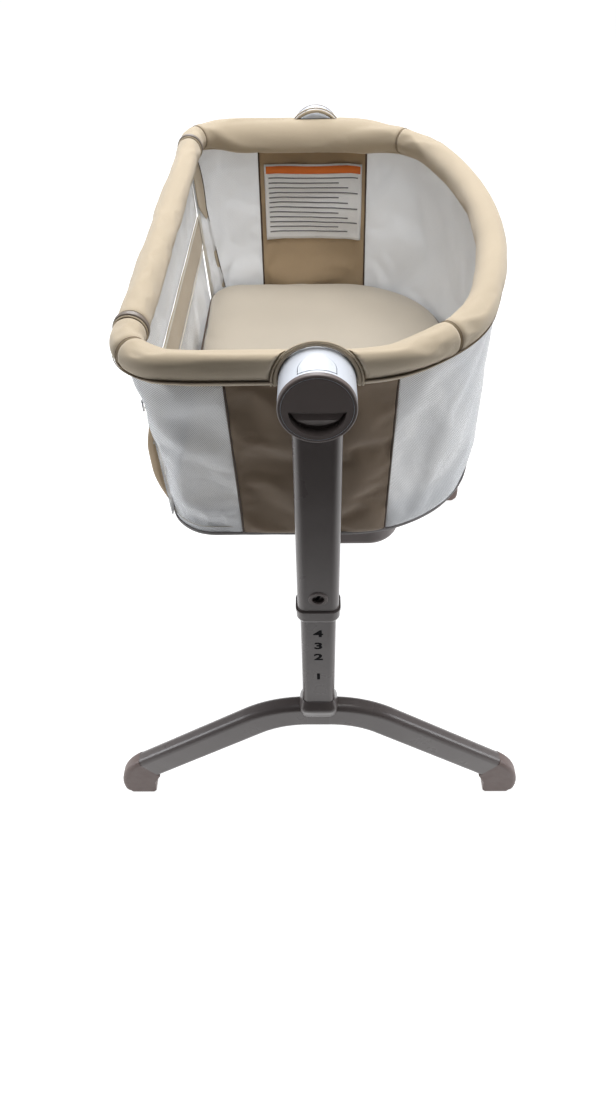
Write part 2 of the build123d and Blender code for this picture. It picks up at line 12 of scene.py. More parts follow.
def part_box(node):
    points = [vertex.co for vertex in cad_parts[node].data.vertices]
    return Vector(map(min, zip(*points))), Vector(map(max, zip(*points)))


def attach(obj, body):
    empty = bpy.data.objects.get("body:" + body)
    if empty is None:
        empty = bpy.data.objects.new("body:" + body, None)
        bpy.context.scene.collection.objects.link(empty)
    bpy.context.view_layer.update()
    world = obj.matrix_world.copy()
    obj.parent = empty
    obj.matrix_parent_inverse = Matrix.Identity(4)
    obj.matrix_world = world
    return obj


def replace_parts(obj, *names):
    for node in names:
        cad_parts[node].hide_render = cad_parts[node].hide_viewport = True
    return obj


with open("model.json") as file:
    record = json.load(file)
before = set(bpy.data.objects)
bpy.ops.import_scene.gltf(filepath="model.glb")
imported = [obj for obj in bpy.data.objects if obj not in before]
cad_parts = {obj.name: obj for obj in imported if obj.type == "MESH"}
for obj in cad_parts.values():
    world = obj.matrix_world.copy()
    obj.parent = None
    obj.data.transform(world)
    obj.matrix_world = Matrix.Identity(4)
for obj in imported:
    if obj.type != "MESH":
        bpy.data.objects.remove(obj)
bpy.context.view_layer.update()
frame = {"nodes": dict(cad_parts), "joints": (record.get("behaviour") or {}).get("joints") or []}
MM = 0.001


# ---- places, in millimetres, read from the frame -------------------------------------------------------------
def span(node):
    low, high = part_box(node)
    return [v / MM for v in low], [v / MM for v in high]


def joint(name):
    return next(j for j in frame["joints"] if j["name"] == name)


RIM_LOW, RIM_HIGH = span("rim_tube")
PAD_LOW, PAD_HIGH = span("side_pad")
HUB_LOW, HUB_HIGH = span("front_hub_housing")
CAP_LOW, CAP_HIGH = span("front_hub_cap")
SHELL_LOW, SHELL_HIGH = span("side_mesh")
STRIP_LOW, STRIP_HIGH = span("side_strip")
BED_LOW, BED_HIGH = span("mattress")
FLOOR_LOW, FLOOR_HIGH = span("bottom_fabric")
POST_LOW, POST_HIGH = span("front_lower_post")
UPPER_LOW, UPPER_HIGH = span("front_upper_post")
RAIL_LOW, RAIL_HIGH = span("rail_pad")
POCKET_LOW, POCKET_HIGH = span("storage_pocket")
LABEL_LOW, LABEL_HIGH = span("safety_label")
WINDOW_LOW, WINDOW_HIGH = span("front_window_ring")

RIM_Z = (RIM_LOW[2] + RIM_HIGH[2]) / 2
TUBE_R = (RIM_HIGH[2] - RIM_LOW[2]) / 2
PAD_R = (PAD_HIGH[2] - PAD_LOW[2]) / 2
HUB_Z = (CAP_LOW[2] + CAP_HIGH[2]) / 2
HUB_R = (CAP_HIGH[2] - CAP_LOW[2]) / 2
HUB_IN, HUB_OUT = -HUB_HIGH[1], -CAP_LOW[1]
WALL_TOP, WALL_BOTTOM = SHELL_HIGH[2], SHELL_LOW[2]

# D-shaped plan outlines: straight left side, two tight corners, bowed right side
RIM = dict(left=RIM_LOW[0] + TUBE_R, right=RIM_HIGH[0] - TUBE_R, half=RIM_HIGH[1] - TUBE_R, rc=48, rb=760, re=175)
TOP = dict(left=RIM["left"] - 4, right=RIM["right"] + 4, half=RIM["half"] + 4, rc=52, rb=764, re=179)
BOTTOM = dict(left=FLOOR_LOW[0], right=FLOOR_HIGH[0], half=FLOOR_HIGH[1], rc=62, rb=720, re=185)
BED = dict(left=BED_LOW[0], right=BED_HIGH[0], half=BED_HIGH[1], rc=58, rb=716, re=181)
PANEL_LEFT, PANEL_RIGHT = span("front_end_panel")[0][0], span("front_end_panel")[1][0]
DROP_HALF = span("drop_mesh")[1][1]
ZIP_HALF = STRIP_HIGH[1]


# ---- outlines --------------------------------------------------------------------------------------------------
def grown(d, by):
    return dict(left=d["left"] - by, right=d["right"] + by, half=d["half"] + by,
                rc=d["rc"] + by, rb=d["rb"] + by, re=d["re"] + by)


def outline(d, step=0.5):
    """Closed plan line, counter-clockwise from the middle of the straight side, as an array of points."""
    bow_x, bend_y = d["right"] - d["rb"], d["half"] - d["re"]
    bend_x = bow_x + math.sqrt((d["rb"] - d["re"]) ** 2 - bend_y ** 2)
    meet = math.atan2(bend_y, bend_x - bow_x)
    corner_x, corner_y = d["left"] + d["rc"], d["half"] - d["rc"]
    quarter = math.pi / 2
    runs = [
        ((d["left"], 0), (d["left"], -corner_y)),
        ((corner_x, -corner_y), d["rc"], 2 * quarter, 3 * quarter),
        ((corner_x, -d["half"]), (bend_x, -d["half"])),
        ((bend_x, -bend_y), d["re"], -quarter, -meet),
        ((bow_x, 0), d["rb"], -meet, meet),
        ((bend_x, bend_y), d["re"], meet, quarter),
        ((bend_x, d["half"]), (corner_x, d["half"])),
        ((corner_x, corner_y), d["rc"], quarter, 2 * quarter),
        ((d["left"], corner_y), (d["left"], 0)),
    ]
    found = []
    for run in runs:
        if len(run) == 2:
            a, b = np.array(run[0], float), np.array(run[1], float)
            count = max(2, int(np.linalg.norm(b - a) / step))
            t = np.linspace(0, 1, count, endpoint=False)[:, None]
            found.append(a + (b - a) * t)
        else:
            (cx, cy), r, a0, a1 = run
            count = max(2, int(abs(a1 - a0) * r / step))
            t = np.linspace(a0, a1, count, endpoint=False)
            found.append(np.stack([cx + r * np.cos(t), cy + r * np.sin(t)], 1))
    return np.concatenate(found)


def part_of(line, start, end, count):
    """The part of a closed outline from near start to near end, as count evenly spaced points."""
    first = int(np.argmin(np.linalg.norm(line - np.array(start), axis=1)))
    last = int(np.argmin(np.linalg.norm(line - np.array(end), axis=1)))
    if last <= first:
        last += len(line)
    picked = line[np.arange(first, last + 1) % len(line)]
    along = np.concatenate([[0], np.cumsum(np.linalg.norm(np.diff(picked, axis=0), axis=1))])
    even = np.linspace(0, along[-1], count)
    return np.stack([np.interp(even, along, picked[:, k]) for k in (0, 1)], 1), along[-1]


def outward(points):
    """Unit plan normals of an open run of points, pointing out of the D."""
    t = np.gradient(points, axis=0)
    t /= np.linalg.norm(t, axis=1)[:, None]
    return np.stack([t[:, 1], -t[:, 0]], 1)


def rear(points):
    """The same points at the other end."""
    return [(x, -y, z) for x, y, z in points]


def smooth(t):
    t = min(1.0, max(0.0, t))
    return t * t * (3 - 2 * t)


# ---- mesh building ---------------------------------------------------------------------------------------------
def make_object(name, verts, faces, cloth=None, smooth=True):
    """Mesh object from points in millimetres. cloth holds metres along and across the fabric, per face corner."""
    mesh = bpy.data.meshes.new(name)
    mesh.from_pydata([(x * MM, y * MM, z * MM) for x, y, z in verts], [], faces)
    if cloth is not None:
        layer = mesh.uv_layers.new(name="cloth")
        layer.data.foreach_set("uv", np.array(cloth, np.float32).ravel())
    mesh.update()
    if smooth:
        mesh.shade_smooth()
    obj = bpy.data.objects.new(name, mesh)
    bpy.context.scene.collection.objects.link(obj)
    return obj


def grid(name, rows, loop=False, caps=False, flip=False):
    """Quads between rows of points. loop joins each row's ends; caps close the first and last row."""
    rows = np.array(rows, float)
    count, width = rows.shape[:2]
    step_u = np.linalg.norm(np.diff(rows, axis=0), axis=2).mean(axis=1)
    around = np.concatenate([rows, rows[:, :1]], axis=1) if loop else rows
    step_v = np.linalg.norm(np.diff(around, axis=1), axis=2).mean(axis=0)
    u = np.concatenate([[0], np.cumsum(step_u)]) * MM
    v = np.concatenate([[0], np.cumsum(step_v)]) * MM
    faces, cloth = [], []
    for i in range(count - 1):
        for j in range(width if loop else width - 1):
            k = (j + 1) % width
            quad = [i * width + j, i * width + k, (i + 1) * width + k, (i + 1) * width + j]
            marks = [(u[i], v[j]), (u[i], v[j + 1]), (u[i + 1], v[j + 1]), (u[i + 1], v[j])]
            if flip:
                quad, marks = quad[::-1], marks[::-1]
            faces.append(quad)
            cloth += marks
    verts = [tuple(p) for p in rows.reshape(-1, 3)]
    if caps and loop:
        for i, turn in ((0, not flip), (count - 1, flip)):
            middle = len(verts)
            verts.append(tuple(rows[i].mean(axis=0)))
            for j in range(width):
                tri = [i * width + j, i * width + (j + 1) % width, middle]
                marks = [(u[i], v[j]), (u[i], v[j + 1]), (u[i] + PAD_R * MM, v[j])]
                if turn:
                    tri, marks = tri[::-1], marks[::-1]
                faces.append(tri)
                cloth += marks
    return make_object(name, verts, faces, cloth)


def frames_along(points):
    """Tangent, side and up vectors along a 3-D line, turned as little as possible."""
    points = [Vector(p) for p in points]
    tangents = []
    for i in range(len(points)):
        a, b = points[max(0, i - 1)], points[min(len(points) - 1, i + 1)]
        tangents.append((b - a).normalized())
    up = Vector((0, 0, 1)) if abs(tangents[0].z) < 0.9 else Vector((0, 1, 0))
    found = []
    for t in tangents:
        side = t.cross(up).normalized()
        up = side.cross(t).normalized()
        found.append((t, side, up.copy()))
    return found


def tube(name, points, r, sides=10, closed=False):
    """Round bar along a line: piping, zip coils, cords and rings."""
    rows = []
    if closed:
        points = list(points) + [points[0]]
    for p, (t, side, up) in zip(points, frames_along(points)):
        ring = []
        for k in range(sides):
            a = 2 * math.pi * k / sides
            ring.append(tuple(Vector(p) + (side * math.cos(a) + up * math.sin(a)) * r))
        rows.append(ring)
    return grid(name, rows, loop=True, caps=not closed)


def join(name, objects):
    """One object from several that ride together."""
    verts, faces, cloth = [], [], []
    for o in objects:
        base = len(verts)
        verts += [tuple(v.co / MM) for v in o.data.vertices]
        faces += [[base + i for i in f.vertices] for f in o.data.polygons]
        layer = o.data.uv_layers.get("cloth")
        cloth += [tuple(d.uv) for d in layer.data]
        bpy.data.objects.remove(o)
    return make_object(name, verts, faces, cloth)


def bake(obj):
    """Writes an object's modifiers into its mesh."""
    depsgraph = bpy.context.evaluated_depsgraph_get()
    mesh = bpy.data.meshes.new_from_object(obj.evaluated_get(depsgraph))
    obj.modifiers.clear()
    obj.data = mesh
    return obj


def thicken(obj, thick, offset=-1.0, levels=0):
    """Gives a sheet its cloth thickness, and smooths it."""
    if levels:
        smooth = obj.modifiers.new("Smooth", "SUBSURF")
        smooth.levels = smooth.render_levels = levels
    solid = obj.modifiers.new("Thickness", "SOLIDIFY")
    solid.thickness, solid.offset = thick * MM, offset
    bake(obj)
    obj.data.shade_smooth()
    return obj


def soften(obj, levels=1):
    smooth = obj.modifiers.new("Smooth", "SUBSURF")
    smooth.levels = smooth.render_levels = levels
    return bake(obj)


# ---- cloth simulation ------------------------------------------------------------------------------------------
SETTLE_FRAMES = 22
cloths = []


def as_cloth(obj, pins, pressure=0.0, grow=0.0, cap=6.0, bend=0.4, stiff=12.0):
    """Queues a mesh for the cloth run: pins are held vertices, grow its spare fabric, cap its farthest move in mm."""
    group = obj.vertex_groups.new(name="held")
    group.add([int(i) for i in pins], 1.0, "REPLACE")
    cloth = obj.modifiers.new("Cloth", "CLOTH")
    s = cloth.settings
    s.quality, s.mass = 6, 0.25
    s.tension_stiffness = s.compression_stiffness = stiff
    s.shear_stiffness, s.bending_stiffness = stiff / 2, bend
    s.use_pressure, s.uniform_pressure_force = pressure > 0, pressure
    s.shrink_min = -grow
    s.vertex_group_mass = "held"
    s.effector_weights.gravity = 0.0
    cloth.collision_settings.use_collision = False
    cloth.point_cache.frame_start, cloth.point_cache.frame_end = 1, SETTLE_FRAMES
    cloths.append((obj, cap))


def coordinates(mesh):
    co = np.zeros(len(mesh.vertices) * 3, np.float32)
    mesh.vertices.foreach_get("co", co)
    return co.reshape(-1, 3)


def settle():
    """Runs every queued cloth together, limits how far it went and writes the result into the meshes."""
    scene = bpy.context.scene
    for f in range(1, SETTLE_FRAMES + 1):
        scene.frame_set(f)
    depsgraph = bpy.context.evaluated_depsgraph_get()
    results = []
    for obj, cap in cloths:
        start = coordinates(obj.data)
        end = coordinates(obj.evaluated_get(depsgraph).data)
        move = end - start
        far = np.linalg.norm(move, axis=1)
        far[far < 1e-9] = 1e-9
        limit = cap * MM
        move *= (np.where(far > limit, limit, far) / far)[:, None]
        results.append(start + move)
    for (obj, cap), co in zip(cloths, results):
        obj.modifiers.clear()
        obj.vertex_groups.clear()
        obj.data.vertices.foreach_set("co", co.astype(np.float32).ravel())
        obj.data.update()
    scene.frame_set(1)


def ripple(points, size, scale, seed):
    """Moves points a little by smooth noise, so that the cloth has somewhere to fold."""
    found = []
    for p in points:
        v = Vector(p) * scale + Vector((seed * 7.3, seed * 3.1, seed * 5.7))
        found.append(tuple(Vector(p) + noise.noise_vector(v) * size))
    return found


# ---- materials -------------------------------------------------------------------------------------------------
class Shader:
    """A Principled material and short calls for the nodes that feed it."""

    def __init__(self, name, color, rough=0.6, **sockets):
        self.material = bpy.data.materials.new(name)
        self.material.use_nodes = True
        self.tree = self.material.node_tree
        self.bsdf = self.tree.nodes["Principled BSDF"]
        self.set(self.bsdf, "Base Color", (*color, 1.0))
        self.set(self.bsdf, "Roughness", rough)
        for socket, value in sockets.items():
            self.set(self.bsdf, socket.replace("_", " "), value)

    def set(self, node, socket, value):
        if isinstance(value, bpy.types.NodeSocket):
            self.tree.links.new(value, node.inputs[socket])
        elif value is not None:
            node.inputs[socket].default_value = value

    def node(self, kind, **settings):
        found = self.tree.nodes.new(kind)
        for key, value in settings.items():
            setattr(found, key, value)
        return found

    def math(self, operation, a, b=None, c=None):
        found = self.node("ShaderNodeMath", operation=operation)
        for i, value in enumerate((a, b, c)):
            self.set(found, i, value)
        return found.outputs[0]

    def mix(self, share, a, b):
        found = self.node("ShaderNodeMix", data_type="RGBA")
        self.set(found, "Factor", share)
        for socket, value in ((6, a), (7, b)):
            self.set(found, socket, (*value, 1.0) if isinstance(value, tuple) else value)
        return found.outputs[2]

    def object_place(self):
        return self.node("ShaderNodeTexCoord").outputs["Object"]

    def cloth_place(self):
        return self.node("ShaderNodeAttribute", attribute_name="cloth").outputs["Vector"]

    def split(self, vector):
        found = self.node("ShaderNodeSeparateXYZ")
        self.set(found, 0, vector)
        return found.outputs[0], found.outputs[1], found.outputs[2]

    def cloud(self, place, scale, detail=3.0, rough=0.5):
        found = self.node("ShaderNodeTexNoise")
        self.set(found, "Vector", place)
        for socket, value in (("Scale", scale), ("Detail", detail), ("Roughness", rough)):
            self.set(found, socket, value)
        return found.outputs["Fac"]

    def remap(self, value, low, high, to_low=0.0, to_high=1.0):
        found = self.node("ShaderNodeMapRange")
        for socket, v in enumerate((value, low, high, to_low, to_high)):
            self.set(found, socket, v)
        return found.outputs[0]

    def wave(self, value, pitch):
        """Sine of a length, one full wave per pitch metres."""
        return self.math("SINE", self.math("MULTIPLY", value, 2 * math.pi / pitch))

    def bump(self, height, depth, strength=1.0, before=None):
        found = self.node("ShaderNodeBump")
        self.set(found, "Height", height)
        self.set(found, "Distance", depth)
        self.set(found, "Strength", strength)
        self.set(found, "Normal", before)
        return found.outputs[0]

    def finish(self, color=None, rough=None, normal=None, alpha=None):
        for socket, value in (("Base Color", color), ("Roughness", rough), ("Normal", normal), ("Alpha", alpha)):
            self.set(self.bsdf, socket, value)
        return self.material


def shade(color, by):
    return tuple(min(1.0, c * by) for c in color)


def woven(name, color, pitch=0.0012, sheen=0.25, blotch=0.10, depth=0.00025, crease=0.0006):
    """Plain weave: crossed threads in the bump and colour, soft creases and uneven dye."""
    s = Shader(name, color, 0.88, Sheen_Weight=sheen, Sheen_Roughness=0.5)
    x, y, _ = s.split(s.cloth_place())
    warp, weft = s.wave(x, pitch), s.wave(y, pitch)
    weave = s.remap(s.math("MULTIPLY", warp, weft), -1.0, 1.0)
    slub = s.cloud(s.cloth_place(), 900.0, 2.0)
    dye = s.cloud(s.object_place(), 9.0, 4.0)
    crumple = s.cloud(s.object_place(), 38.0, 4.0, 0.6)
    tone = s.mix(s.remap(dye, 0.3, 0.7), shade(color, 1 - blotch), shade(color, 1 + blotch * 0.6))
    tone = s.mix(s.math("MULTIPLY", weave, 0.22), tone, shade(color, 0.72))
    tone = s.mix(s.math("MULTIPLY", s.remap(slub, 0.45, 0.75), 0.16), tone, shade(color, 0.80))
    relief = s.bump(crumple, crease, 0.6)
    relief = s.bump(s.math("ADD", weave, s.math("MULTIPLY", slub, 0.6)), depth, 0.7, relief)
    return s.finish(color=tone, normal=relief)


def knitted(name, color, pitch=0.0024, clear=0.36, solid=0.90):
    """Open warp-knit mesh: diamond holes that the light passes, set between twisted yarns."""
    s = Shader(name, color, 0.75, Sheen_Weight=0.3, Sheen_Roughness=0.4)
    x, y, _ = s.split(s.cloth_place())
    plus = s.wave(s.math("ADD", x, y), pitch * 2)
    minus = s.wave(s.math("SUBTRACT", x, y), pitch * 2)
    cell = s.math("ABSOLUTE", s.math("MULTIPLY", plus, minus))
    hole = s.remap(cell, 0.30, 0.72)
    dye = s.cloud(s.object_place(), 14.0, 3.0)
    tone = s.mix(s.remap(dye, 0.3, 0.7), shade(color, 0.95), color)
    tone = s.mix(s.math("MULTIPLY", hole, 0.15), tone, shade(color, 0.8))
    relief = s.bump(s.math("SUBTRACT", 1.0, hole), 0.0004, 0.6)
    return s.finish(color=tone, normal=relief, alpha=s.remap(hole, 0.0, 1.0, solid, clear))


def coated(name, color, rough=0.34, grain=900.0):
    """Powder coat on steel: fine orange peel, slight unevenness and a thin clear gloss."""
    s = Shader(name, color, rough, Coat_Weight=0.4, Coat_Roughness=0.3, Specular_IOR_Level=0.3)
    peel = s.cloud(s.object_place(), grain, 2.0)
    cast = s.cloud(s.object_place(), 7.0, 3.0)
    tone = s.mix(s.remap(cast, 0.3, 0.7), shade(color, 0.95), shade(color, 1.03))
    uneven = s.remap(s.cloud(s.object_place(), 26.0, 4.0), 0.3, 0.7, rough - 0.05, rough + 0.09)
    return s.finish(color=tone, rough=uneven, normal=s.bump(peel, 0.00012, 0.35))


def moulded(name, color, rough=0.42, grain=1600.0, depth=0.0001):
    """Injection-moulded plastic with a fine spark texture and faint handling marks."""
    s = Shader(name, color, rough)
    spark = s.cloud(s.object_place(), grain, 2.0)
    flow = s.cloud(s.object_place(), 11.0, 3.0)
    scuff = s.cloud(s.object_place(), 75.0, 6.0, 0.7)
    tone = s.mix(s.remap(flow, 0.3, 0.7), shade(color, 0.96), shade(color, 1.02))
    uneven = s.remap(scuff, 0.35, 0.75, rough - 0.05, rough + 0.12)
    return s.finish(color=tone, rough=uneven, normal=s.bump(spark, depth, 0.4))


def metal(name, color, rough=0.3):
    s = Shader(name, color, rough, Metallic=1.0)
    x, y, z = s.split(s.object_place())
    drawn = s.cloud(s.object_place(), 420.0, 5.0)
    tone = s.mix(s.remap(drawn, 0.3, 0.7), shade(color, 0.85), color)
    return s.finish(color=tone, rough=s.remap(drawn, 0.3, 0.7, rough - 0.08, rough + 0.12),
                    normal=s.bump(drawn, 0.00005, 0.3))


def rubbery(name, color):
    s = Shader(name, color, 0.85)
    pits = s.cloud(s.object_place(), 700.0, 3.0)
    tone = s.mix(s.remap(pits, 0.4, 0.7), shade(color, 0.8), shade(color, 1.3))
    return s.finish(color=tone, normal=s.bump(pits, 0.0002, 0.6))


def fibreboard(name, color):
    s = Shader(name, color, 0.8)
    fibre = s.cloud(s.object_place(), 260.0, 6.0, 0.7)
    broad = s.cloud(s.object_place(), 12.0, 4.0)
    tone = s.mix(s.remap(fibre, 0.3, 0.7), shade(color, 0.78), shade(color, 1.1))
    tone = s.mix(s.math("MULTIPLY", s.remap(broad, 0.3, 0.7), 0.4), tone, shade(color, 0.9))
    return s.finish(color=tone, normal=s.bump(fibre, 0.0002, 0.4))


def printed(name, color):
    """Ink, with the slight break-up of a pad print."""
    s = Shader(name, color, 0.8, Specular_IOR_Level=0.08)
    wear = s.cloud(s.object_place(), 1500.0, 3.0)
    return s.finish(color=s.mix(s.remap(wear, 0.55, 0.8), color, shade(color, 2.2)))


PAINT = coated("stand_paint", (0.108, 0.091, 0.087), 0.30)
WHITE = moulded("hub_white", (0.64, 0.67, 0.73), 0.32, 1200.0, 0.00005)
GREY = moulded("hub_grey", (0.150, 0.122, 0.115), 0.42)
SHOE = moulded("shoe_grey", (0.129, 0.086, 0.075), 0.45)
SOCKET = moulded("socket_brown", (0.20, 0.165, 0.14), 0.42)
NYLON = moulded("nylon", (0.70, 0.69, 0.64), 0.4)
STEEL = metal("plated_steel", (0.62, 0.62, 0.64))
RUBBER = rubbery("rubber", (0.035, 0.035, 0.035))
BOARD = fibreboard("board", (0.42, 0.31, 0.20))
INK = printed("ink", (0.008, 0.008, 0.009))
RIM_CLOTH = woven("rim_cloth", (0.520, 0.430, 0.310), blotch=0.05)
PANEL_CLOTH = woven("panel_cloth", (0.447, 0.326, 0.199), 0.0014, blotch=0.10, crease=0.0010)
# Painted shade: the front panel is the same fabric as the rear panel, given a copy about half as bright so the shade
# on the front end is painted into its colour.
SHADED_FRONT_CLOTH = woven("front_panel_cloth_painted_shade", (0.216, 0.148, 0.088), 0.0014, blotch=0.10, crease=0.0010)
# Dark brown for the seam rings between covers, and along the flanges as a painted shadow line under the pads' lower
# edge.
SEAM_AND_SHADOW_CLOTH = woven("seam_and_shadow_line_cloth", (0.27, 0.205, 0.145), 0.0010)
TRIM_DARK = woven("trim_dark", (0.075, 0.045, 0.026), 0.0010)
TRIM_PALE = woven("trim_pale", (0.66, 0.62, 0.55), 0.0010)
BED_CLOTH = woven("bed_cloth", (0.500, 0.445, 0.365), 0.0010, 0.35, 0.05)
MESH_CLOTH = knitted("mesh_cloth", (0.900, 0.912, 0.930))
HEM_CLOTH = woven("hem_cloth", (0.20, 0.185, 0.18), 0.0012)
LABEL_CLOTH = woven("label_cloth", (0.86, 0.86, 0.86), 0.0006, 0.1, 0.03, 0.00008, 0.0002)
LABEL_BAND = woven("label_band", (0.80, 0.19, 0.03), 0.0006, 0.1, 0.03, 0.00008, 0.0002)
LABEL_INK = printed("label_ink", (0.14, 0.14, 0.15))
ZIP_TEETH = moulded("zip_teeth", (0.60, 0.54, 0.45), 0.35)


def dress(piece, material, body, replaces=()):
    """Material, body and replaced CAD nodes of a piece."""
    piece.data.materials.clear()
    piece.data.materials.append(material)
    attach(piece, body)
    if replaces:
        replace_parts(piece, *replaces)
    return piece


# ---- camera, lights and floor ----------------------------------------------------------------------------------
CAMERA_PLACE = (-0.0005, -1.0695, 1.3149)
PITCH, YAW, ROLL = (math.radians(a) for a in (45.556, -1.022, 1.034))
LENS = 25.09             # millimetres, on a 36 mm long side


def set_camera():
    ahead = Vector((math.sin(YAW) * math.cos(PITCH), math.cos(YAW) * math.cos(PITCH), -math.sin(PITCH)))
    level = Vector((math.cos(YAW), -math.sin(YAW), 0))
    down = -level.cross(ahead)
    right = math.cos(ROLL) * level + math.sin(ROLL) * down
    below = -math.sin(ROLL) * level + math.cos(ROLL) * down
    data = bpy.data.cameras.new("camera")
    data.sensor_width, data.sensor_fit, data.lens = 36.0, "AUTO", LENS
    camera = bpy.data.objects.new("camera", data)
    axes = Matrix((right, -below, -ahead)).transposed()
    camera.matrix_world = Matrix.Translation(CAMERA_PLACE) @ axes.to_4x4()
    bpy.context.scene.collection.objects.link(camera)
    bpy.context.scene.camera = camera


def area_light(name, place, aim, size, power, color=(1, 1, 1)):
    data = bpy.data.lights.new(name, "AREA")
    data.shape, data.size, data.energy, data.color = "DISK", size, power, color
    light = bpy.data.objects.new(name, data)
    light.location = place
    light.rotation_euler = (Vector(aim) - Vector(place)).to_track_quat("-Z", "Y").to_euler()
    light.visible_camera = False
    bpy.context.scene.collection.objects.link(light)


def flag(name, corners):
    """Black card out of the camera's sight, which keeps bounced light off the front."""
    mesh = bpy.data.meshes.new(name)
    mesh.from_pydata(corners, [], [(0, 1, 2, 3)])
    card = bpy.data.objects.new(name, mesh)
    card.visible_camera = False
    bpy.context.scene.collection.objects.link(card)
    s = Shader(name, (0.02, 0.02, 0.02), 0.9)
    nap = s.cloud(s.object_place(), 40.0)
    mesh.materials.append(s.finish(color=s.mix(nap, (0.015, 0.015, 0.015), (0.03, 0.03, 0.03))))


def set_stage():
    size = 14.0
    mesh = bpy.data.meshes.new("floor")
    mesh.from_pydata([(-size, -size, 0), (size, -size, 0), (size, size, 0), (-size, size, 0)], [], [(0, 1, 2, 3)])
    floor = bpy.data.objects.new("floor", mesh)
    floor.location.z = -0.0005
    bpy.context.scene.collection.objects.link(floor)
    s = Shader("floor", (0.35, 0.35, 0.35), 0.9, Emission_Color=(1, 1, 1, 1), Emission_Strength=0.92)
    haze = s.cloud(s.object_place(), 0.7, 2.0)
    floor.data.materials.append(s.finish(color=s.mix(haze, (0.34, 0.34, 0.34), (0.38, 0.38, 0.38))))
    world = bpy.data.worlds.new("studio")
    world.use_nodes = True
    background = world.node_tree.nodes["Background"]
    background.inputs["Color"].default_value = (0.95, 0.97, 1.0, 1.0)
    background.inputs["Strength"].default_value = 0.25
    bpy.context.scene.world = world
    bpy.context.scene.view_settings.view_transform = "Standard"
    area_light("key", (0.3, 0.5, 3.1), (0.0, 0.0, 0.7), 2.0, 70, (1.0, 0.99, 0.97))
    area_light("back", (-0.3, 2.7, 2.9), (0.0, 0.0, 0.7), 2.2, 75, (0.93, 0.96, 1.0))
    area_light("front_top", (0.0, -0.85, 3.1), (0.0, -0.45, 0.3), 0.9, 9, (0.95, 0.97, 1.0))
    for side in (-1, 1):
        area_light(f"side_{side + 1}", (1.5 * side, -0.35, 0.5), (0.0, -0.4, 0.42), 0.7, 7, (0.93, 0.96, 1.0))
    flag("front_flag", [(-2.6, -1.9, 0), (2.6, -1.9, 0), (2.6, -2.1, 2.6), (-2.6, -2.1, 2.6)])
    flag("floor_flag", [(-2.4, -1.9, 0.001), (2.4, -1.9, 0.001), (2.4, -0.98, 0.001), (-2.4, -0.98, 0.001)])


set_camera()
set_stage()


# ---- hard parts: CAD nodes with their finishes -----------------------------------------------------------------
def finish_node(material, *nodes):
    for name in nodes:
        mesh = frame["nodes"][name].data
        mesh.materials.clear()
        mesh.materials.append(material)


def both(*names):
    return [f"{end}_{name}" for name in names for end in ("front", "rear")]


finish_node(PAINT, *both("foot_tube", "lower_post", "upper_post"), "rim_tube", "lower_frame", "rail_tube",
            *both("hub_bracket"))
finish_node(GREY, *both("hub_cap", "lift_paddle", "window_ring"), "floor_pod")
finish_node(PAINT, *both("post_collar"))
finish_node(SHOE, "foot_shoes")
finish_node(WHITE, *both("hub_housing", "swing_button"))
finish_node(SOCKET, "rail_sockets")
finish_node(NYLON, *both("hub_bush"))
finish_node(STEEL, "post_bolts", *both("lock_pin", "button_spring", "hub_axle", "post_plug"))
finish_node(RUBBER, "foot_pads")
finish_node(BOARD, "floor_board")


# ---- saddle where each lower post enters its foot ---------------------------------------------------------------
FOOT_LOW, FOOT_HIGH = span("front_foot_tube")
SADDLE = ((-17, 3.0, 3.6), (-10, 4.2, 4.6), (-3, 5.2, 7.0), (2, 5.4, 8.6), (6, 4.6, 8.4), (10, 3.4, 6.6),
          (14, 2.2, 4.2), (18, 1.2, 2.0), (21, 0.5, 0.6))       # height over the foot, spare width, spare depth


def saddle(end, sign):
    """Weld-in saddle that spreads the post's foot over the tube."""
    half_x, half_y = (POST_HIGH[0] - POST_LOW[0]) / 2, (POST_HIGH[1] - POST_LOW[1]) / 2
    middle = (POST_HIGH[1] + POST_LOW[1]) / 2 * -sign
    rows = []
    for up, wide, deep in SADDLE:
        ring = []
        for k in range(64):
            c, d = math.cos(2 * math.pi * k / 64), math.sin(2 * math.pi * k / 64)
            x = (half_x + wide) * math.copysign(abs(c) ** 0.42, c)
            y = (half_y + deep) * math.copysign(abs(d) ** 0.42, d)
            ring.append((x, middle + y, FOOT_HIGH[2] + up))
        rows.append(ring)
    piece = grid(f"{end}_saddle", rows, loop=True)
    dress(thicken(piece, 0.6, levels=1), PAINT, "stand")


for end, sign in (("front", -1), ("rear", 1)):
    saddle(end, sign)


# ---- rim covers ------------------------------------------------------------------------------------------------
PAD_SIDES = 36
PAD_STEP = 6.0
SEAM = dict(corner=(-201.0, 345.0), side=(150.0, 322.0))     # where the covers meet, x and |y|
OVAL = dict(long=27.5, short=18.0, drop=3.5, lean=3.0)       # the ends' slanting section


def end_share(x, y):
    """How far the covers' section has turned from round to the slanting oval of the two ends."""
    return smooth((x + 205) / 80) * smooth((150 - x) / 70) if abs(y) > 300 else 0.0


def section(a, share, r):
    """Point on the covers' section at angle a: outward and up from the rim tube's centre."""
    turn = a - math.pi / 4
    along = OVAL["long"] * math.cos(turn) - OVAL["drop"]
    across = OVAL["short"] * math.sin(turn) - OVAL["lean"]
    size = r / (PAD_R - 1)
    out, up = (along - across) * size / math.sqrt(2), (along + across) * size / math.sqrt(2)
    return r * math.cos(a) * (1 - share) + out * share, r * math.sin(a) * (1 - share) + up * share


def section_ring(x, y, nx, ny, angles, r):
    ring = []
    for a in angles:
        out, up = section(a, end_share(x, y), r)
        ring.append((x + nx * out, y + ny * out, RIM_Z + up))
    return ring


ROUND = [2 * math.pi * k / PAD_SIDES - math.pi / 2 for k in range(PAD_SIDES)]


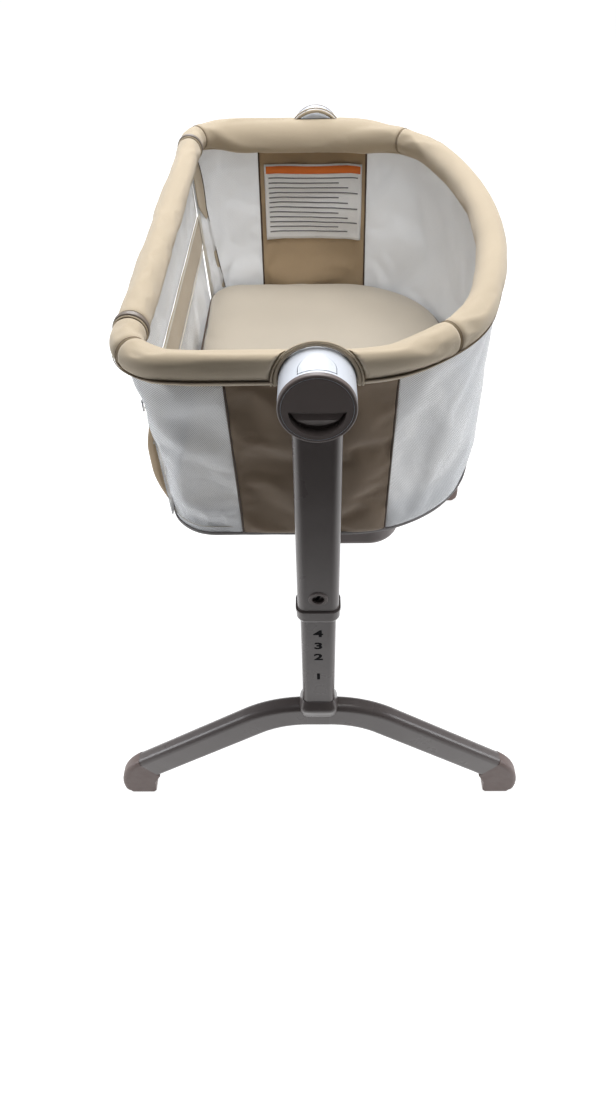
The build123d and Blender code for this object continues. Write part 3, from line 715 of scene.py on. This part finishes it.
def pad_rows(points, r):
    """Rings round a run of the rim, pinched at both ends where the cover is sewn to the next."""
    rows = []
    last = len(points) - 1
    for i, ((x, y), (nx, ny)) in enumerate(zip(points, outward(points))):
        ends = min(i, last - i) * PAD_STEP
        pinch = r - 1.0 * max(0.0, 1 - ends / 6.0)
        rows.append(ripple(section_ring(x, y, nx, ny, ROUND, pinch), 0.35, 0.03, 1.0))
    return rows


def pad_pins(count):
    """Held points: both end rings, and the sewn line under the tube."""
    ends = list(range(PAD_SIDES)) + [(count - 1) * PAD_SIDES + k for k in range(PAD_SIDES)]
    under = [i * PAD_SIDES + k for i in range(count) for k in (0, 1, PAD_SIDES - 1)]
    return sorted(set(ends + under))


def rim_pad(name, start, end):
    line = outline(RIM)
    _, length = part_of(line, start, end, 10)
    count = max(8, int(length / PAD_STEP))
    points, _ = part_of(line, start, end, count)
    pad = grid(name, pad_rows(points, PAD_R - 1.0), loop=True, caps=True)
    as_cloth(pad, pad_pins(count), pressure=3.0, grow=0.009, cap=1.6, bend=1.2)
    return pad


RING_Y = span("rail_sockets")[1][1] + 1
corner_out, side_out = SEAM["corner"], SEAM["side"]
pads = {
    "front_corner_cover": rim_pad("front_corner_cover", (RIM["left"], -RING_Y), (corner_out[0], -corner_out[1])),
    "front_end_cover": rim_pad("front_end_cover", (corner_out[0], -corner_out[1]), (side_out[0], -side_out[1])),
    "side_cover": rim_pad("side_cover", (side_out[0], -side_out[1]), side_out),
    "rear_end_cover": rim_pad("rear_end_cover", side_out, corner_out),
    "rear_corner_cover": rim_pad("rear_corner_cover", corner_out, (RIM["left"], RING_Y)),
}


def rail_rows(r):
    count = int((RAIL_HIGH[1] - RAIL_LOW[1]) / PAD_STEP)
    points = np.array([(RIM["left"], RAIL_HIGH[1] - 1 - (RAIL_HIGH[1] - RAIL_LOW[1] - 2) * i / (count - 1))
                       for i in range(count)])
    return pad_rows(points, r), count


rows, count = rail_rows(PAD_R - 1.0)
rail = grid("rail_cover", rows, loop=True, caps=True)
as_cloth(rail, pad_pins(count), pressure=3.0, grow=0.005, cap=1.0, bend=1.2)
pads["rail_cover"] = rail


# ---- fabric walls ----------------------------------------------------------------------------------------------
TOP_LINE, BOTTOM_LINE = outline(TOP), outline(BOTTOM)
HEM_Z = WALL_BOTTOM + 3          # where the walls meet the bottom binding
UP_Z = WALL_TOP + 3              # walls run up into the covers


def wall_share(z):
    return (z - WALL_BOTTOM) / (WALL_TOP - WALL_BOTTOM)


def wall_rows(start, end, z0, z1, out=0.0, step=8.0, low_start=None, low_end=None):
    """Rows of points on the wall between two places on its outline, from z0 up to z1."""
    low_start, low_end = low_start or start, low_end or end
    _, length = part_of(TOP_LINE, start, end, 10)
    width = max(3, int(length / step))
    top, top_length = part_of(TOP_LINE, start, end, width)
    low, low_length = part_of(BOTTOM_LINE, low_start, low_end, width)
    push = outward(top) * out
    rows = []
    height = max(3, int((z1 - z0) / step))
    for i in range(height):
        z = z0 + (z1 - z0) * i / (height - 1)
        t = wall_share(z)
        rows.append([(x, y, z) for x, y in low * (1 - t) + top * t + push])
    size = ((top_length + low_length) / 2, z1 - z0)
    return rows, size


def border(height, width):
    edge = [i * width + j for i in range(height) for j in range(width)
            if i in (0, height - 1) or j in (0, width - 1)]
    return edge


def wall_sheet(name, rows, grow=0.012, cap=7.0, seed=3.0, wave=2.5):
    rows = np.array(rows)
    height, width = rows.shape[:2]
    inner = rows.copy().reshape(-1, 3)
    moved = np.array(ripple(inner, wave, 0.014, seed)).reshape(height, width, 3)
    rows[1:-1, 1:-1] = moved[1:-1, 1:-1]
    sheet = grid(name, rows, flip=True)
    as_cloth(sheet, border(height, width), grow=grow, cap=cap, bend=0.15, stiff=8.0)
    return sheet


LEFT_T = (TOP["left"], 0.0)
panel_ends = dict(start=(PANEL_LEFT, -TOP["half"]), end=(PANEL_RIGHT, -TOP["half"]),
                  low_start=(PANEL_LEFT, -BOTTOM["half"]), low_end=(PANEL_RIGHT, -BOTTOM["half"]))
sheets = {}


def flip_rows(rows):
    """Mirrors rows to the other end, keeping the way they run round the outline."""
    return [[(x, -y, z) for x, y, z in reversed(row)] for row in rows]


rows, size = wall_rows(z0=HEM_Z, z1=UP_Z, step=7.0, **panel_ends)
sheets["front_panel"] = (wall_sheet("front_panel", rows, 0.016, 6.0, 4.0), size)
sheets["rear_panel"] = (wall_sheet("rear_panel", flip_rows(rows), 0.016, 6.0, 5.0), size)
rows, size = wall_rows((TOP["left"], -ZIP_HALF), (PANEL_LEFT, -TOP["half"]), HEM_Z, UP_Z, step=7.0,
                       low_start=(BOTTOM["left"], -ZIP_HALF), low_end=(PANEL_LEFT, -BOTTOM["half"]))
sheets["front_corner_wall"] = (wall_sheet("front_corner_wall", rows, 0.014, 7.0, 6.0), size)
sheets["rear_corner_wall"] = (wall_sheet("rear_corner_wall", flip_rows(rows), 0.014, 7.0, 7.0), size)
rows, size = wall_rows((PANEL_RIGHT, -TOP["half"]), (PANEL_RIGHT, TOP["half"]), HEM_Z, UP_Z, step=8.0,
                       low_start=(PANEL_RIGHT, -BOTTOM["half"]), low_end=(PANEL_RIGHT, BOTTOM["half"]))
sheets["bowed_wall"] = (wall_sheet("bowed_wall", rows, 0.012, 9.0, 8.0, 4.0), size)


def left_rows(y_half, z0, z1, step, out=0.0):
    """Rows on the straight side, running the same way round as the outline, rear to front."""
    width, height = max(3, int(2 * y_half / step)), max(3, int((z1 - z0) / step))
    rows = []
    for i in range(height):
        z = z0 + (z1 - z0) * i / (height - 1)
        x = BOTTOM["left"] + (TOP["left"] - BOTTOM["left"]) * wall_share(z) - out
        rows.append([(x, y_half - 2 * y_half * j / (width - 1), z) for j in range(width)])
    return rows, (2 * y_half, z1 - z0)


rows, size = left_rows(ZIP_HALF, HEM_Z, STRIP_LOW[2] + 3, 8.0)
sheets["low_side_wall"] = (wall_sheet("low_side_wall", rows, 0.010, 5.0, 9.0), size)
rows, size = left_rows(DROP_HALF, STRIP_HIGH[2] + 1.2, RAIL_LOW[2] + 4, 7.0)
for i, row in enumerate(rows):
    free = math.sin(math.pi * i / (len(rows) - 1))
    folds = lambda y: 3.2 * free * math.sin(y / 7.5) * math.exp(-((y - 215) / 70) ** 2)
    rows[i] = [(x - folds(y), y, z) for x, y, z in row]
sheets["drop_wall"] = (wall_sheet("drop_wall", rows, 0.012, 4.0, 10.0, 2.0), size)


# ---- mattress --------------------------------------------------------------------------------------------------
def mattress_cover():
    """Crowned pad: rounded edge, a gently full top and a flat underside."""
    line = outline(BED)
    side, length = part_of(line, (BED["left"], 0.0), (BED["left"], 0.6), 190)
    side = side[:-1]
    normals = outward(np.concatenate([side[-1:], side, side[:1]]))[1:-1]
    high, low = BED_HIGH[2], BED_LOW[2]
    middle = np.array([(BED["left"] + BED["right"]) / 2, 0.0])
    rows = []
    edge = [(0.0, low + 0.5, 6.0), (0.0, low + 3, 1.5), (0.0, low + 12, 0.4), (0.0, high - 13, 0.6),
            (0.0, high - 7, 1.8), (0.0, high - 3.0, 5.0), (0.0, high - 0.8, 11.0)]
    for _, z, inset in edge:
        rows.append([(x - nx * inset, y - ny * inset, z) for (x, y), (nx, ny) in zip(side, normals)])
    for t in (0.86, 0.76, 0.66, 0.56, 0.46, 0.36, 0.26, 0.16, 0.07):
        crown = 3.0 * (1 - t ** 2)
        rows.append([(*(middle + (np.array([x, y]) - middle) * t), high + crown) for x, y in side])
    rows = [ripple(row, 0.5, 0.02, 2.0) for row in rows]
    return grid("mattress_cover", rows, loop=True, caps=True)


bed = mattress_cover()
bed_width = len(part_of(outline(BED), (BED["left"], 0.0), (BED["left"], 0.6), 190)[0]) - 1
as_cloth(bed, range(3 * bed_width), pressure=0.6, grow=0.004, cap=3.0, bend=1.5)

settle()


# ---- after the cloth run: fit round the hub, thickness, materials ----------------------------------------------
HUB_CLEAR, ARCH_EDGE = HUB_R + 7.2, HUB_R + 15
ARCH_FACE = -span("front_pad_arch")[0][1]


def notch(pad):
    """Flattens an end cover where the hub stands against it."""
    co = coordinates(pad.data) / MM
    around = np.hypot(co[:, 0], co[:, 2] - HUB_Z)
    share = np.clip((around - HUB_CLEAR) / (ARCH_EDGE - HUB_CLEAR), 0, 1)
    share = share * share * (3 - 2 * share)
    limit = HUB_IN - 0.7 + share * (PAD_R + 2)
    sign = np.sign(co[:, 1])
    co[:, 1] = sign * np.minimum(np.abs(co[:, 1]), limit)
    pad.data.vertices.foreach_set("co", (co * MM).astype(np.float32).ravel())
    pad.data.update()


REPLACED = {
    "front_corner_cover": ["front_corner_pad"], "front_end_cover": ["front_end_pad"], "side_cover": ["side_pad"],
    "rear_end_cover": ["rear_end_pad"], "rear_corner_cover": ["rear_corner_pad"], "rail_cover": ["rail_pad"],
}
for name, pad in pads.items():
    soften(pad)
    if "end" in name:
        notch(pad)
    body = "drop_side" if name == "rail_cover" else "bassinet"
    dress(pad, RIM_CLOTH, body, REPLACED[name])

soften(bed)
dress(bed, BED_CLOTH, "bassinet", ["mattress"])

SHEET_LOOKS = {
    # Painted shade: the front panel takes the darkened copy of the panel cloth.
    "front_panel": (SHADED_FRONT_CLOTH, "panel_fabric", ["front_end_panel"], 1.6),
    "rear_panel": (PANEL_CLOTH, "panel_fabric", ["rear_end_panel"], 1.6),
    "front_corner_wall": (MESH_CLOTH, "mesh_fabric", ["front_corner_mesh"], 0.8),
    "rear_corner_wall": (MESH_CLOTH, "mesh_fabric", ["rear_corner_mesh"], 0.8),
    "bowed_wall": (MESH_CLOTH, "mesh_fabric", ["side_mesh"], 0.8),
    "low_side_wall": (MESH_CLOTH, "mesh_fabric", ["lower_side_mesh"], 0.8),
    "drop_wall": (MESH_CLOTH, "mesh_fabric", ["drop_mesh"], 0.8),
}
for name, (sheet, size) in sheets.items():
    material, slot, nodes, thick = SHEET_LOOKS[name]
    thicken(sheet, thick, levels=1)
    body = "drop_side" if name == "drop_wall" else "bassinet"
    dress(sheet, material, body, nodes)


# ---- strip, trims and small soft parts -------------------------------------------------------------------------
def wall_line(start, end, z, out, count, low_start=None, low_end=None):
    """A line on the wall at one height."""
    t = wall_share(z)
    top, _ = part_of(TOP_LINE, start, end, count)
    low, _ = part_of(BOTTOM_LINE, low_start or start, low_end or end, count)
    flat = low * (1 - t) + top * t + outward(top) * out
    return [(x, y, z) for x, y in flat]


def side_band():
    """Lined hem band that the drop side hinges on, a little full between its two piped edges."""
    rows, (length, height) = left_rows(ZIP_HALF, STRIP_LOW[2], STRIP_HIGH[2] - 0.5, 5.0)
    rows = np.array(rows)
    count = len(rows)
    profile = []
    for i, row in enumerate(rows):
        full = 1.6 * math.sin(math.pi * i / (count - 1)) ** 0.5
        profile.append([(x - 0.4 - full, y, z) for x, y, z in ripple(row, 0.8, 0.02, 11.0)])
    for i, row in reversed(list(enumerate(rows))):
        full = 1.6 * math.sin(math.pi * i / (count - 1)) ** 0.5
        profile.append([(x + 1.4 + full, y, z) for x, y, z in ripple(row, 0.8, 0.02, 12.0)])
    across = [[profile[i][j] for i in range(len(profile))] for j in range(rows.shape[1])]
    return grid("side_band", across, loop=True, caps=True)


band = dress(soften(side_band()), RIM_CLOTH, "bassinet", ["side_strip"])


def left_x(z):
    return BOTTOM["left"] + (TOP["left"] - BOTTOM["left"]) * wall_share(z)


trims = []


def trim(name, points, r, material, body="bassinet", sides=8):
    piece = dress(tube(name, points, r, sides), material, body)
    trims.append(piece)
    return piece


band_ys = np.linspace(-ZIP_HALF, ZIP_HALF, 60)
for z, place in ((STRIP_HIGH[2] - 1.0, "top"), (STRIP_LOW[2] + 0.5, "low")):
    for out, side in ((-2.6, "outer"), (3.2, "inner")):
        trim(f"band_piping_{place}_{side}", [(left_x(z) + out, y, z) for y in band_ys], 1.1, TRIM_PALE)

for end, sign in (("front", -1), ("rear", 1)):
    for x, side in ((PANEL_LEFT, "left"), (PANEL_RIGHT, "right")):
        line = []
        for z in np.linspace(HEM_Z, UP_Z - 8, 40):
            t = wall_share(z)
            top, _ = part_of(TOP_LINE, (x, -TOP["half"]), (x + 1.0, -TOP["half"]), 2)
            low, _ = part_of(BOTTOM_LINE, (x, -BOTTOM["half"]), (x + 1.0, -BOTTOM["half"]), 2)
            px, py = low[0] * (1 - t) + top[0] * t
            line.append((px, -sign * py + sign * 0.6, z))
        trim(f"{end}_panel_piping_{side}", line, 1.8, TRIM_DARK)


for name, places in (
        ("left", ((TOP["left"], -ZIP_HALF), (PANEL_LEFT, -TOP["half"]), (BOTTOM["left"], -ZIP_HALF),
                  (PANEL_LEFT, -BOTTOM["half"]))),
        ("bowed", ((PANEL_RIGHT, -TOP["half"]), (PANEL_RIGHT, TOP["half"]), (PANEL_RIGHT, -BOTTOM["half"]),
                   (PANEL_RIGHT, BOTTOM["half"])))):
    start, end, low_start, low_end = places
    trim(f"{name}_mesh_seam", wall_line(start, end, WALL_BOTTOM + 17, 1.2, 200, low_start, low_end), 0.55, TRIM_PALE)


def hem():
    """Binding round the bottom of the walls, turned in under the floor cloth."""
    profile = ((0.9, HEM_Z + 2), (1.5, HEM_Z), (1.4, WALL_BOTTOM + 1), (0.2, FLOOR_LOW[2] - 0.6), (-5.0, FLOOR_LOW[2] - 1.8),
               (-13.0, FLOOR_LOW[2] - 1.4))
    line, _ = part_of(BOTTOM_LINE, (BOTTOM["left"], 0.0), (BOTTOM["left"], 0.6), 260)
    line = line[:-1]
    normals = outward(np.concatenate([line[-1:], line, line[:1]]))[1:-1]
    rows = []
    for out, z in profile:
        lean = (TOP["half"] - BOTTOM["half"]) * wall_share(max(z, WALL_BOTTOM))
        ring = [(x + nx * (out + lean * 0.6), y + ny * (out + lean * 0.6), z) for (x, y), (nx, ny) in zip(line, normals)]
        rows.append(ripple(ring, 0.5, 0.05, 13.0))
    piece = grid("bottom_binding", rows, loop=True)
    return thicken(piece, 1.0, levels=1)


dress(hem(), HEM_CLOTH, "bassinet")


def floor_cloth():
    """Taut cloth under the floor, flat between its edges."""
    line, _ = part_of(BOTTOM_LINE, (BOTTOM["left"], 0.0), (BOTTOM["left"], 0.6), 160)
    line = line[:-1]
    middle = np.array([(BOTTOM["left"] + BOTTOM["right"]) / 2, 0.0])
    rows = []
    for t in (0.985, 0.9, 0.8, 0.65, 0.5, 0.35, 0.2, 0.08):
        rows.append([(*(middle + (p - middle) * t), FLOOR_HIGH[2] - 0.6) for p in line])
    return grid("floor_cloth", rows, loop=True, caps=True)


dress(thicken(floor_cloth(), 1.2), HEM_CLOTH, "bassinet", ["bottom_fabric"])


# ---- arch and flange round the covers' lower edge --------------------------------------------------------------
def arch_cover(end, sign):
    """Piped fabric arch that closes the end cover round the hub."""
    face = ARCH_FACE
    profile = ((1.2, HUB_IN + 0.5), (1.0, face - 2.5), (2.0, face - 0.6), (4.6, face - 0.4), (6.4, face - 2.0), (6.6, HUB_IN + 0.8))
    rows = []
    for i in range(49):
        a = math.radians(-6 + 192 * i / 48)
        ring = [((HUB_R + r) * math.cos(a), sign * y, HUB_Z + (HUB_R + r) * math.sin(a)) for r, y in profile]
        rows.append(ripple(ring, 0.3, 0.06, 14.0))
    piece = grid(f"{end}_arch", rows, loop=True, caps=True, flip=sign < 0)
    dress(soften(piece), RIM_CLOTH, "bassinet", [f"{end}_pad_arch"])
    line = []
    for i in range(61):
        a = math.radians(-4 + 188 * i / 60)
        r = HUB_R + 7.6
        line.append((r * math.cos(a), sign * (face - 0.8), HUB_Z + r * math.sin(a)))
    trim(f"{end}_arch_piping", line, 1.1, RIM_CLOTH)


for end, sign in (("front", -1), ("rear", 1)):
    arch_cover(end, sign)


def flange(name, start, end):
    """Binding that closes the covers along their outer lower edge, with a thin dark tube along its upper seam that is
    a painted shadow line under the pads.
    """
    line = outline(RIM)
    _, length = part_of(line, start, end, 10)
    points, _ = part_of(line, start, end, max(4, int(length / 6)))
    high, low = math.radians(-30), math.radians(-74)
    out_angles = np.linspace(high, low, 5)
    across, shadow_cord = [], []
    for (x, y), (nx, ny) in zip(points, outward(points)):
        ring = section_ring(x, y, nx, ny, out_angles, PAD_R + 1.0)
        ex, ey, ez = ring[-1]
        ring += [(ex - nx, ey - ny, ez - 4.0), (ex - 3 * nx, ey - 3 * ny, ez - 3.6)]
        ring += section_ring(x, y, nx, ny, out_angles[::-1][:3], PAD_R - 2.5)
        across.append(ripple(ring, 0.5, 0.04, 15.0))
        shadow_cord.append(section_ring(x, y, nx, ny, [high], PAD_R + 0.9)[0])
    piece = grid(name, across, loop=True, caps=True, flip=True)
    dress(soften(piece), RIM_CLOTH, "bassinet")
    # Painted shadow: a thin dark tube along the upper seam paints the shade line under the pad's edge.
    trim(f"{name}_cord", shadow_cord, 0.5, SEAM_AND_SHADOW_CLOTH)


ARCH_X = HUB_R + 6
flange("front_left_flange", (RIM["left"], -RING_Y), (-ARCH_X, -RIM["half"]))
flange("bowed_flange", (ARCH_X, -RIM["half"]), (ARCH_X, RIM["half"]))
flange("rear_left_flange", (-ARCH_X, RIM["half"]), (RIM["left"], RING_Y))


def seam_ring(name, place):
    """Sewn seam between two covers."""
    line = outline(RIM)
    index = int(np.argmin(np.linalg.norm(line - np.array(place), axis=1)))
    x, y = line[index]
    nx, ny = outward(line[index - 2:index + 3])[2]
    dress(tube(name, section_ring(x, y, nx, ny, ROUND, PAD_R - 1.3), 0.5, 8, closed=True), SEAM_AND_SHADOW_CLOTH, "bassinet")


for place in ("corner", "side"):
    for end, sign in (("front", -1), ("rear", 1)):
        seam_ring(f"{end}_{place}_seam", (SEAM[place][0], sign * SEAM[place][1]))


# ---- drop side's zips and corner tapes -------------------------------------------------------------------------
def zip_run(end, sign):
    """Closed coil zip up one end of the drop side, on its tapes, with a slider parked at the bottom."""
    low, high = STRIP_HIGH[2] + 4, RAIL_LOW[2] - 4
    centre = sign * (DROP_HALF + 2.7)
    zs = np.linspace(low, high, 60)
    rows = [[(left_x(z) - 1.2, centre + 2.2 * k, z) for k in (-1, -0.5, 0, 0.5, 1)] for z in zs]
    tape = thicken(grid(f"{end}_zip_tape", rows, flip=True), 0.8)
    dress(tape, RIM_CLOTH, "bassinet", ["side_zips"])
    turns = int((high - low) / 1.5)
    teeth = []
    for k in range(turns):
        z = low + (high - low) * (k + 0.5) / turns
        tooth = [(left_x(z) - 2.0, centre - 1.3, z), (left_x(z) - 2.6, centre, z), (left_x(z) - 2.0, centre + 1.3, z)]
        teeth.append(tube(f"tooth{k}", tooth, 0.42, 6))
    dress(join(f"{end}_zip_coil", teeth), ZIP_TEETH, "bassinet")
    z = low + 6
    body = [(left_x(z) - out, centre, z + up) for out, up in ((3.0, -4), (3.4, 0), (3.0, 4))]
    dress(tube(f"{end}_zip_slider", body, 2.0, 10), STEEL, "bassinet")
    pull = [(left_x(z) - out, centre, z - down) for out, down in ((5.0, 1), (5.4, 9), (5.2, 17))]
    dress(tube(f"{end}_zip_pull", pull, 1.3, 8), STEEL, "bassinet")


def corner_strip(name, end, edges, inset, material):
    """Cloth strip on the inside of a corner wall: edges gives its two sides, as lengths from the zip."""
    top, top_length = part_of(TOP_LINE, (TOP["left"], -ZIP_HALF + 8), (PANEL_LEFT, -TOP["half"]), 160)
    low, low_length = part_of(BOTTOM_LINE, (BOTTOM["left"], -ZIP_HALF + 8), (PANEL_LEFT, -BOTTOM["half"]), 160)
    normals = outward(top)
    rows = []
    for z, first, last in edges:
        t = wall_share(z)
        line = low * (1 - t) + top * t - normals * inset
        length = low_length * (1 - t) + top_length * t
        row = []
        for k in np.linspace(0, 1, 6):
            at = (8 + first + (last - first) * k) / length * 159
            row.append((np.interp(at, range(160), line[:, 0]), np.interp(at, range(160), line[:, 1]), z))
        rows.append(row if end == "front" else rear(row))
    piece = thicken(grid(f"{end}_{name}", rows, flip=end == "front"), 1.0, levels=1)
    dress(piece, material, "bassinet")
    return rows


def corner_tape(end):
    """Facing inside the corner, wide beside the zip, then a narrow seam tape down to the mattress."""
    edges = []
    for z in np.linspace(BED_HIGH[2] - 8, RIM_Z - PAD_R + 8, 50):
        wide = 37 + 9 * math.sin(math.pi * min(1.0, max(0.0, (RIM_Z - z) / 110)))
        wide -= 12 * smooth((z - RIM_Z + 40) / 30)
        edges.append((z, -3 + 33 * smooth((STRIP_HIGH[2] + 22 - z) / 45), wide))
    rows = corner_strip("corner_facing", end, edges, 4.5, RIM_CLOTH)
    trim(f"{end}_facing_piping", [row[-1] for row in rows], 1.0, TRIM_DARK)
    zs = np.linspace(HEM_Z, STRIP_HIGH[2] + 2, 30)
    corner_strip("corner_seam_tape", end, [(z, -7, 6) for z in zs], 2.4, TRIM_PALE)


for end, sign in (("front", -1), ("rear", 1)):
    zip_run(end, sign)
    corner_tape(end)


# ---- soft piping beside the rail rings -------------------------------------------------------------------------
for end, sign in (("front", -1), ("rear", 1)):
    for name, y, body in (("rail", RAIL_HIGH[1] - 1.6, "drop_side"), ("corner", RING_Y + 1.6, "bassinet")):
        ring = [(RIM["left"] + (PAD_R - 1.0) * math.cos(a), sign * y, RIM_Z + (PAD_R - 1.0) * math.sin(a))
                for a in np.linspace(0, 2 * math.pi, 49)[:-1]]
        dress(tube(f"{end}_{name}_ring_piping", ring, 1.0, 8, closed=True), RIM_CLOTH, body)


# ---- mattress piping -------------------------------------------------------------------------------------------
line, _ = part_of(outline(grown(BED, -1.0)), (BED["left"] + 1, 0.0), (BED["left"] + 1, 0.6), 240)
dress(tube("mattress_piping", [(x, y, BED_HIGH[2] - 9.5) for x, y in line[:-1]], 1.6, 8, closed=True), TRIM_DARK,
      "bassinet")


# ---- pocket ----------------------------------------------------------------------------------------------------
def pocket():
    """Gathered pocket on the outside of the straight side, with an elastic top edge."""
    y0, y1, z0, z1 = POCKET_LOW[1], POCKET_HIGH[1], POCKET_LOW[2], POCKET_HIGH[2]
    back = POCKET_HIGH[0]
    deep = POCKET_HIGH[0] - POCKET_LOW[0]
    rows = []
    wide, tall = 90, 26
    for i in range(tall):
        t = i / (tall - 1)
        row = []
        for j in range(wide):
            s = j / (wide - 1)
            y = y0 + (y1 - y0) * s
            belly = math.sin(math.pi * min(1.0, t * 0.9 + 0.08)) ** 0.7
            ends = math.sin(math.pi * min(1, max(0, s))) ** 0.08
            gather = 1.3 * math.sin(s * 2 * math.pi * 23 + 1.3 * math.sin(s * 11)) * (t ** 2)
            gather += 0.9 * math.sin(s * 2 * math.pi * 15 + 2.0) * ((1 - t) ** 2)
            out = (deep - 3.5) * belly * ends + gather * ends + 1.5 + 11 * belly * (1 - smooth((s - 0.03) / 0.4))
            row.append((back - out, y, z0 + (z1 - z0) * t))
        rows.append(ripple(row, 1.6, 0.03, 16.0))
    piece = thicken(grid("pocket", rows, flip=True), 1.2, levels=1)
    dress(piece, PANEL_CLOTH, "bassinet", ["storage_pocket"])
    edge = []
    for j in range(240):
        s = j / 239
        ends = math.sin(math.pi * s) ** 0.08
        gather = 1.3 * math.sin(s * 2 * math.pi * 23 + 1.3 * math.sin(s * 11))
        edge.append((back - ((deep - 3.5) * math.sin(math.pi * 0.98) ** 0.7 * ends + gather * ends + 1.8
                            + 4 * (1 - smooth((s - 0.03) / 0.4))),
                     y0 + (y1 - y0) * s, z1 + 0.5))
    trim("pocket_elastic", edge, 2.2, RIM_CLOTH)


pocket()


# ---- label -----------------------------------------------------------------------------------------------------
def label():
    """Blank care patch sewn inside the rear end: a plain coloured header and plain grey bars, no words."""
    panel = sheets["rear_panel"][0].data
    tree = BVHTree.FromPolygons([v.co for v in panel.vertices], [tuple(f.vertices) for f in panel.polygons])
    x0, x1, z0, z1 = LABEL_LOW[0], LABEL_HIGH[0], LABEL_LOW[2], LABEL_HIGH[2]

    def panel_y(x, z):
        hits = [tree.ray_cast(Vector(((x + dx) * MM, 0, (z + dz) * MM)), Vector((0, 1, 0)))[0]
                for dx in (-9, 0, 9) for dz in (-9, 0, 9)]
        ys = [h.y / MM for h in hits if h is not None]
        return min(ys) * 0.5 + sum(ys) / len(ys) * 0.5

    def patch(name, a, b, low, high, off, material, thick=0.5):
        rows = [[(a + (b - a) * j / 36, panel_y(a + (b - a) * j / 36, z) - off, z) for j in range(37)]
                for z in np.linspace(low, high, max(3, int((high - low) / 5)))]
        return dress(thicken(grid(name, rows), thick), material, "bassinet")

    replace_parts(patch("care_patch", x0, x1, z0, z1, 1.6, LABEL_CLOTH, 0.6), "safety_label")
    patch("care_patch_header", x0 + 3, x1 - 3, z1 - 15, z1 - 3, 2.4, LABEL_BAND, 0.3)
    bars = []
    for k in range(12):
        z = z1 - 23 - k * 8.3
        right = x1 - 7 - 17 * ((k * 5) % 3)
        rows = [[(x0 + 7 + (right - x0 - 7) * j / 24, panel_y(x0 + 7 + (right - x0 - 7) * j / 24, zz) - 2.4, zz)
                 for j in range(25)] for zz in (z, z + 1.6)]
        bars.append(thicken(grid(f"bar{k}", rows), 0.25))
    dress(join("care_patch_bars", bars), LABEL_INK, "bassinet")


label()


# ---- printed setting marks, and a painted highlight ring round each hub cap ------------------------------------
MARK_Z = {"7": WINDOW_LOW[2] + 13, "6": 528.0, "5": 508.0, "4": 469.0, "3": 441.0, "2": 414.5, "1": 366.0}


def mark(end, sign, digit, z):
    curve = bpy.data.curves.new(f"{end}_mark_{digit}", "FONT")
    curve.body, curve.size = digit, 0.021
    curve.align_x = curve.align_y = "CENTER"
    curve.extrude, curve.offset = 0.00008, 0.0007
    text = bpy.data.objects.new(f"{end}_mark_{digit}", curve)
    bpy.context.scene.collection.objects.link(text)
    face = -POST_LOW[1]
    text.location = (0, sign * (face + 0.05) * MM, z * MM)
    text.rotation_euler = (math.pi / 2, 0, 0 if sign < 0 else math.pi)
    text.scale = (1.25, 0.95, 1.0)
    dress(text, INK, "stand")


for end, sign in (("front", -1), ("rear", 1)):
    for digit, z in MARK_Z.items():
        mark(end, sign, digit, z)
    # Painted highlight: a thin white ring round each cap, standing for the light caught on a step near the cap's rim.
    ring = [((37.6) * math.cos(a), sign * (HUB_OUT - 0.3), HUB_Z + 37.6 * math.sin(a))
            for a in np.linspace(0, 2 * math.pi, 97)[:-1]]
    dress(tube(f"{end}_cap_highlight_ring", ring, 0.25, 8, closed=True), WHITE, f"{end}_upper")
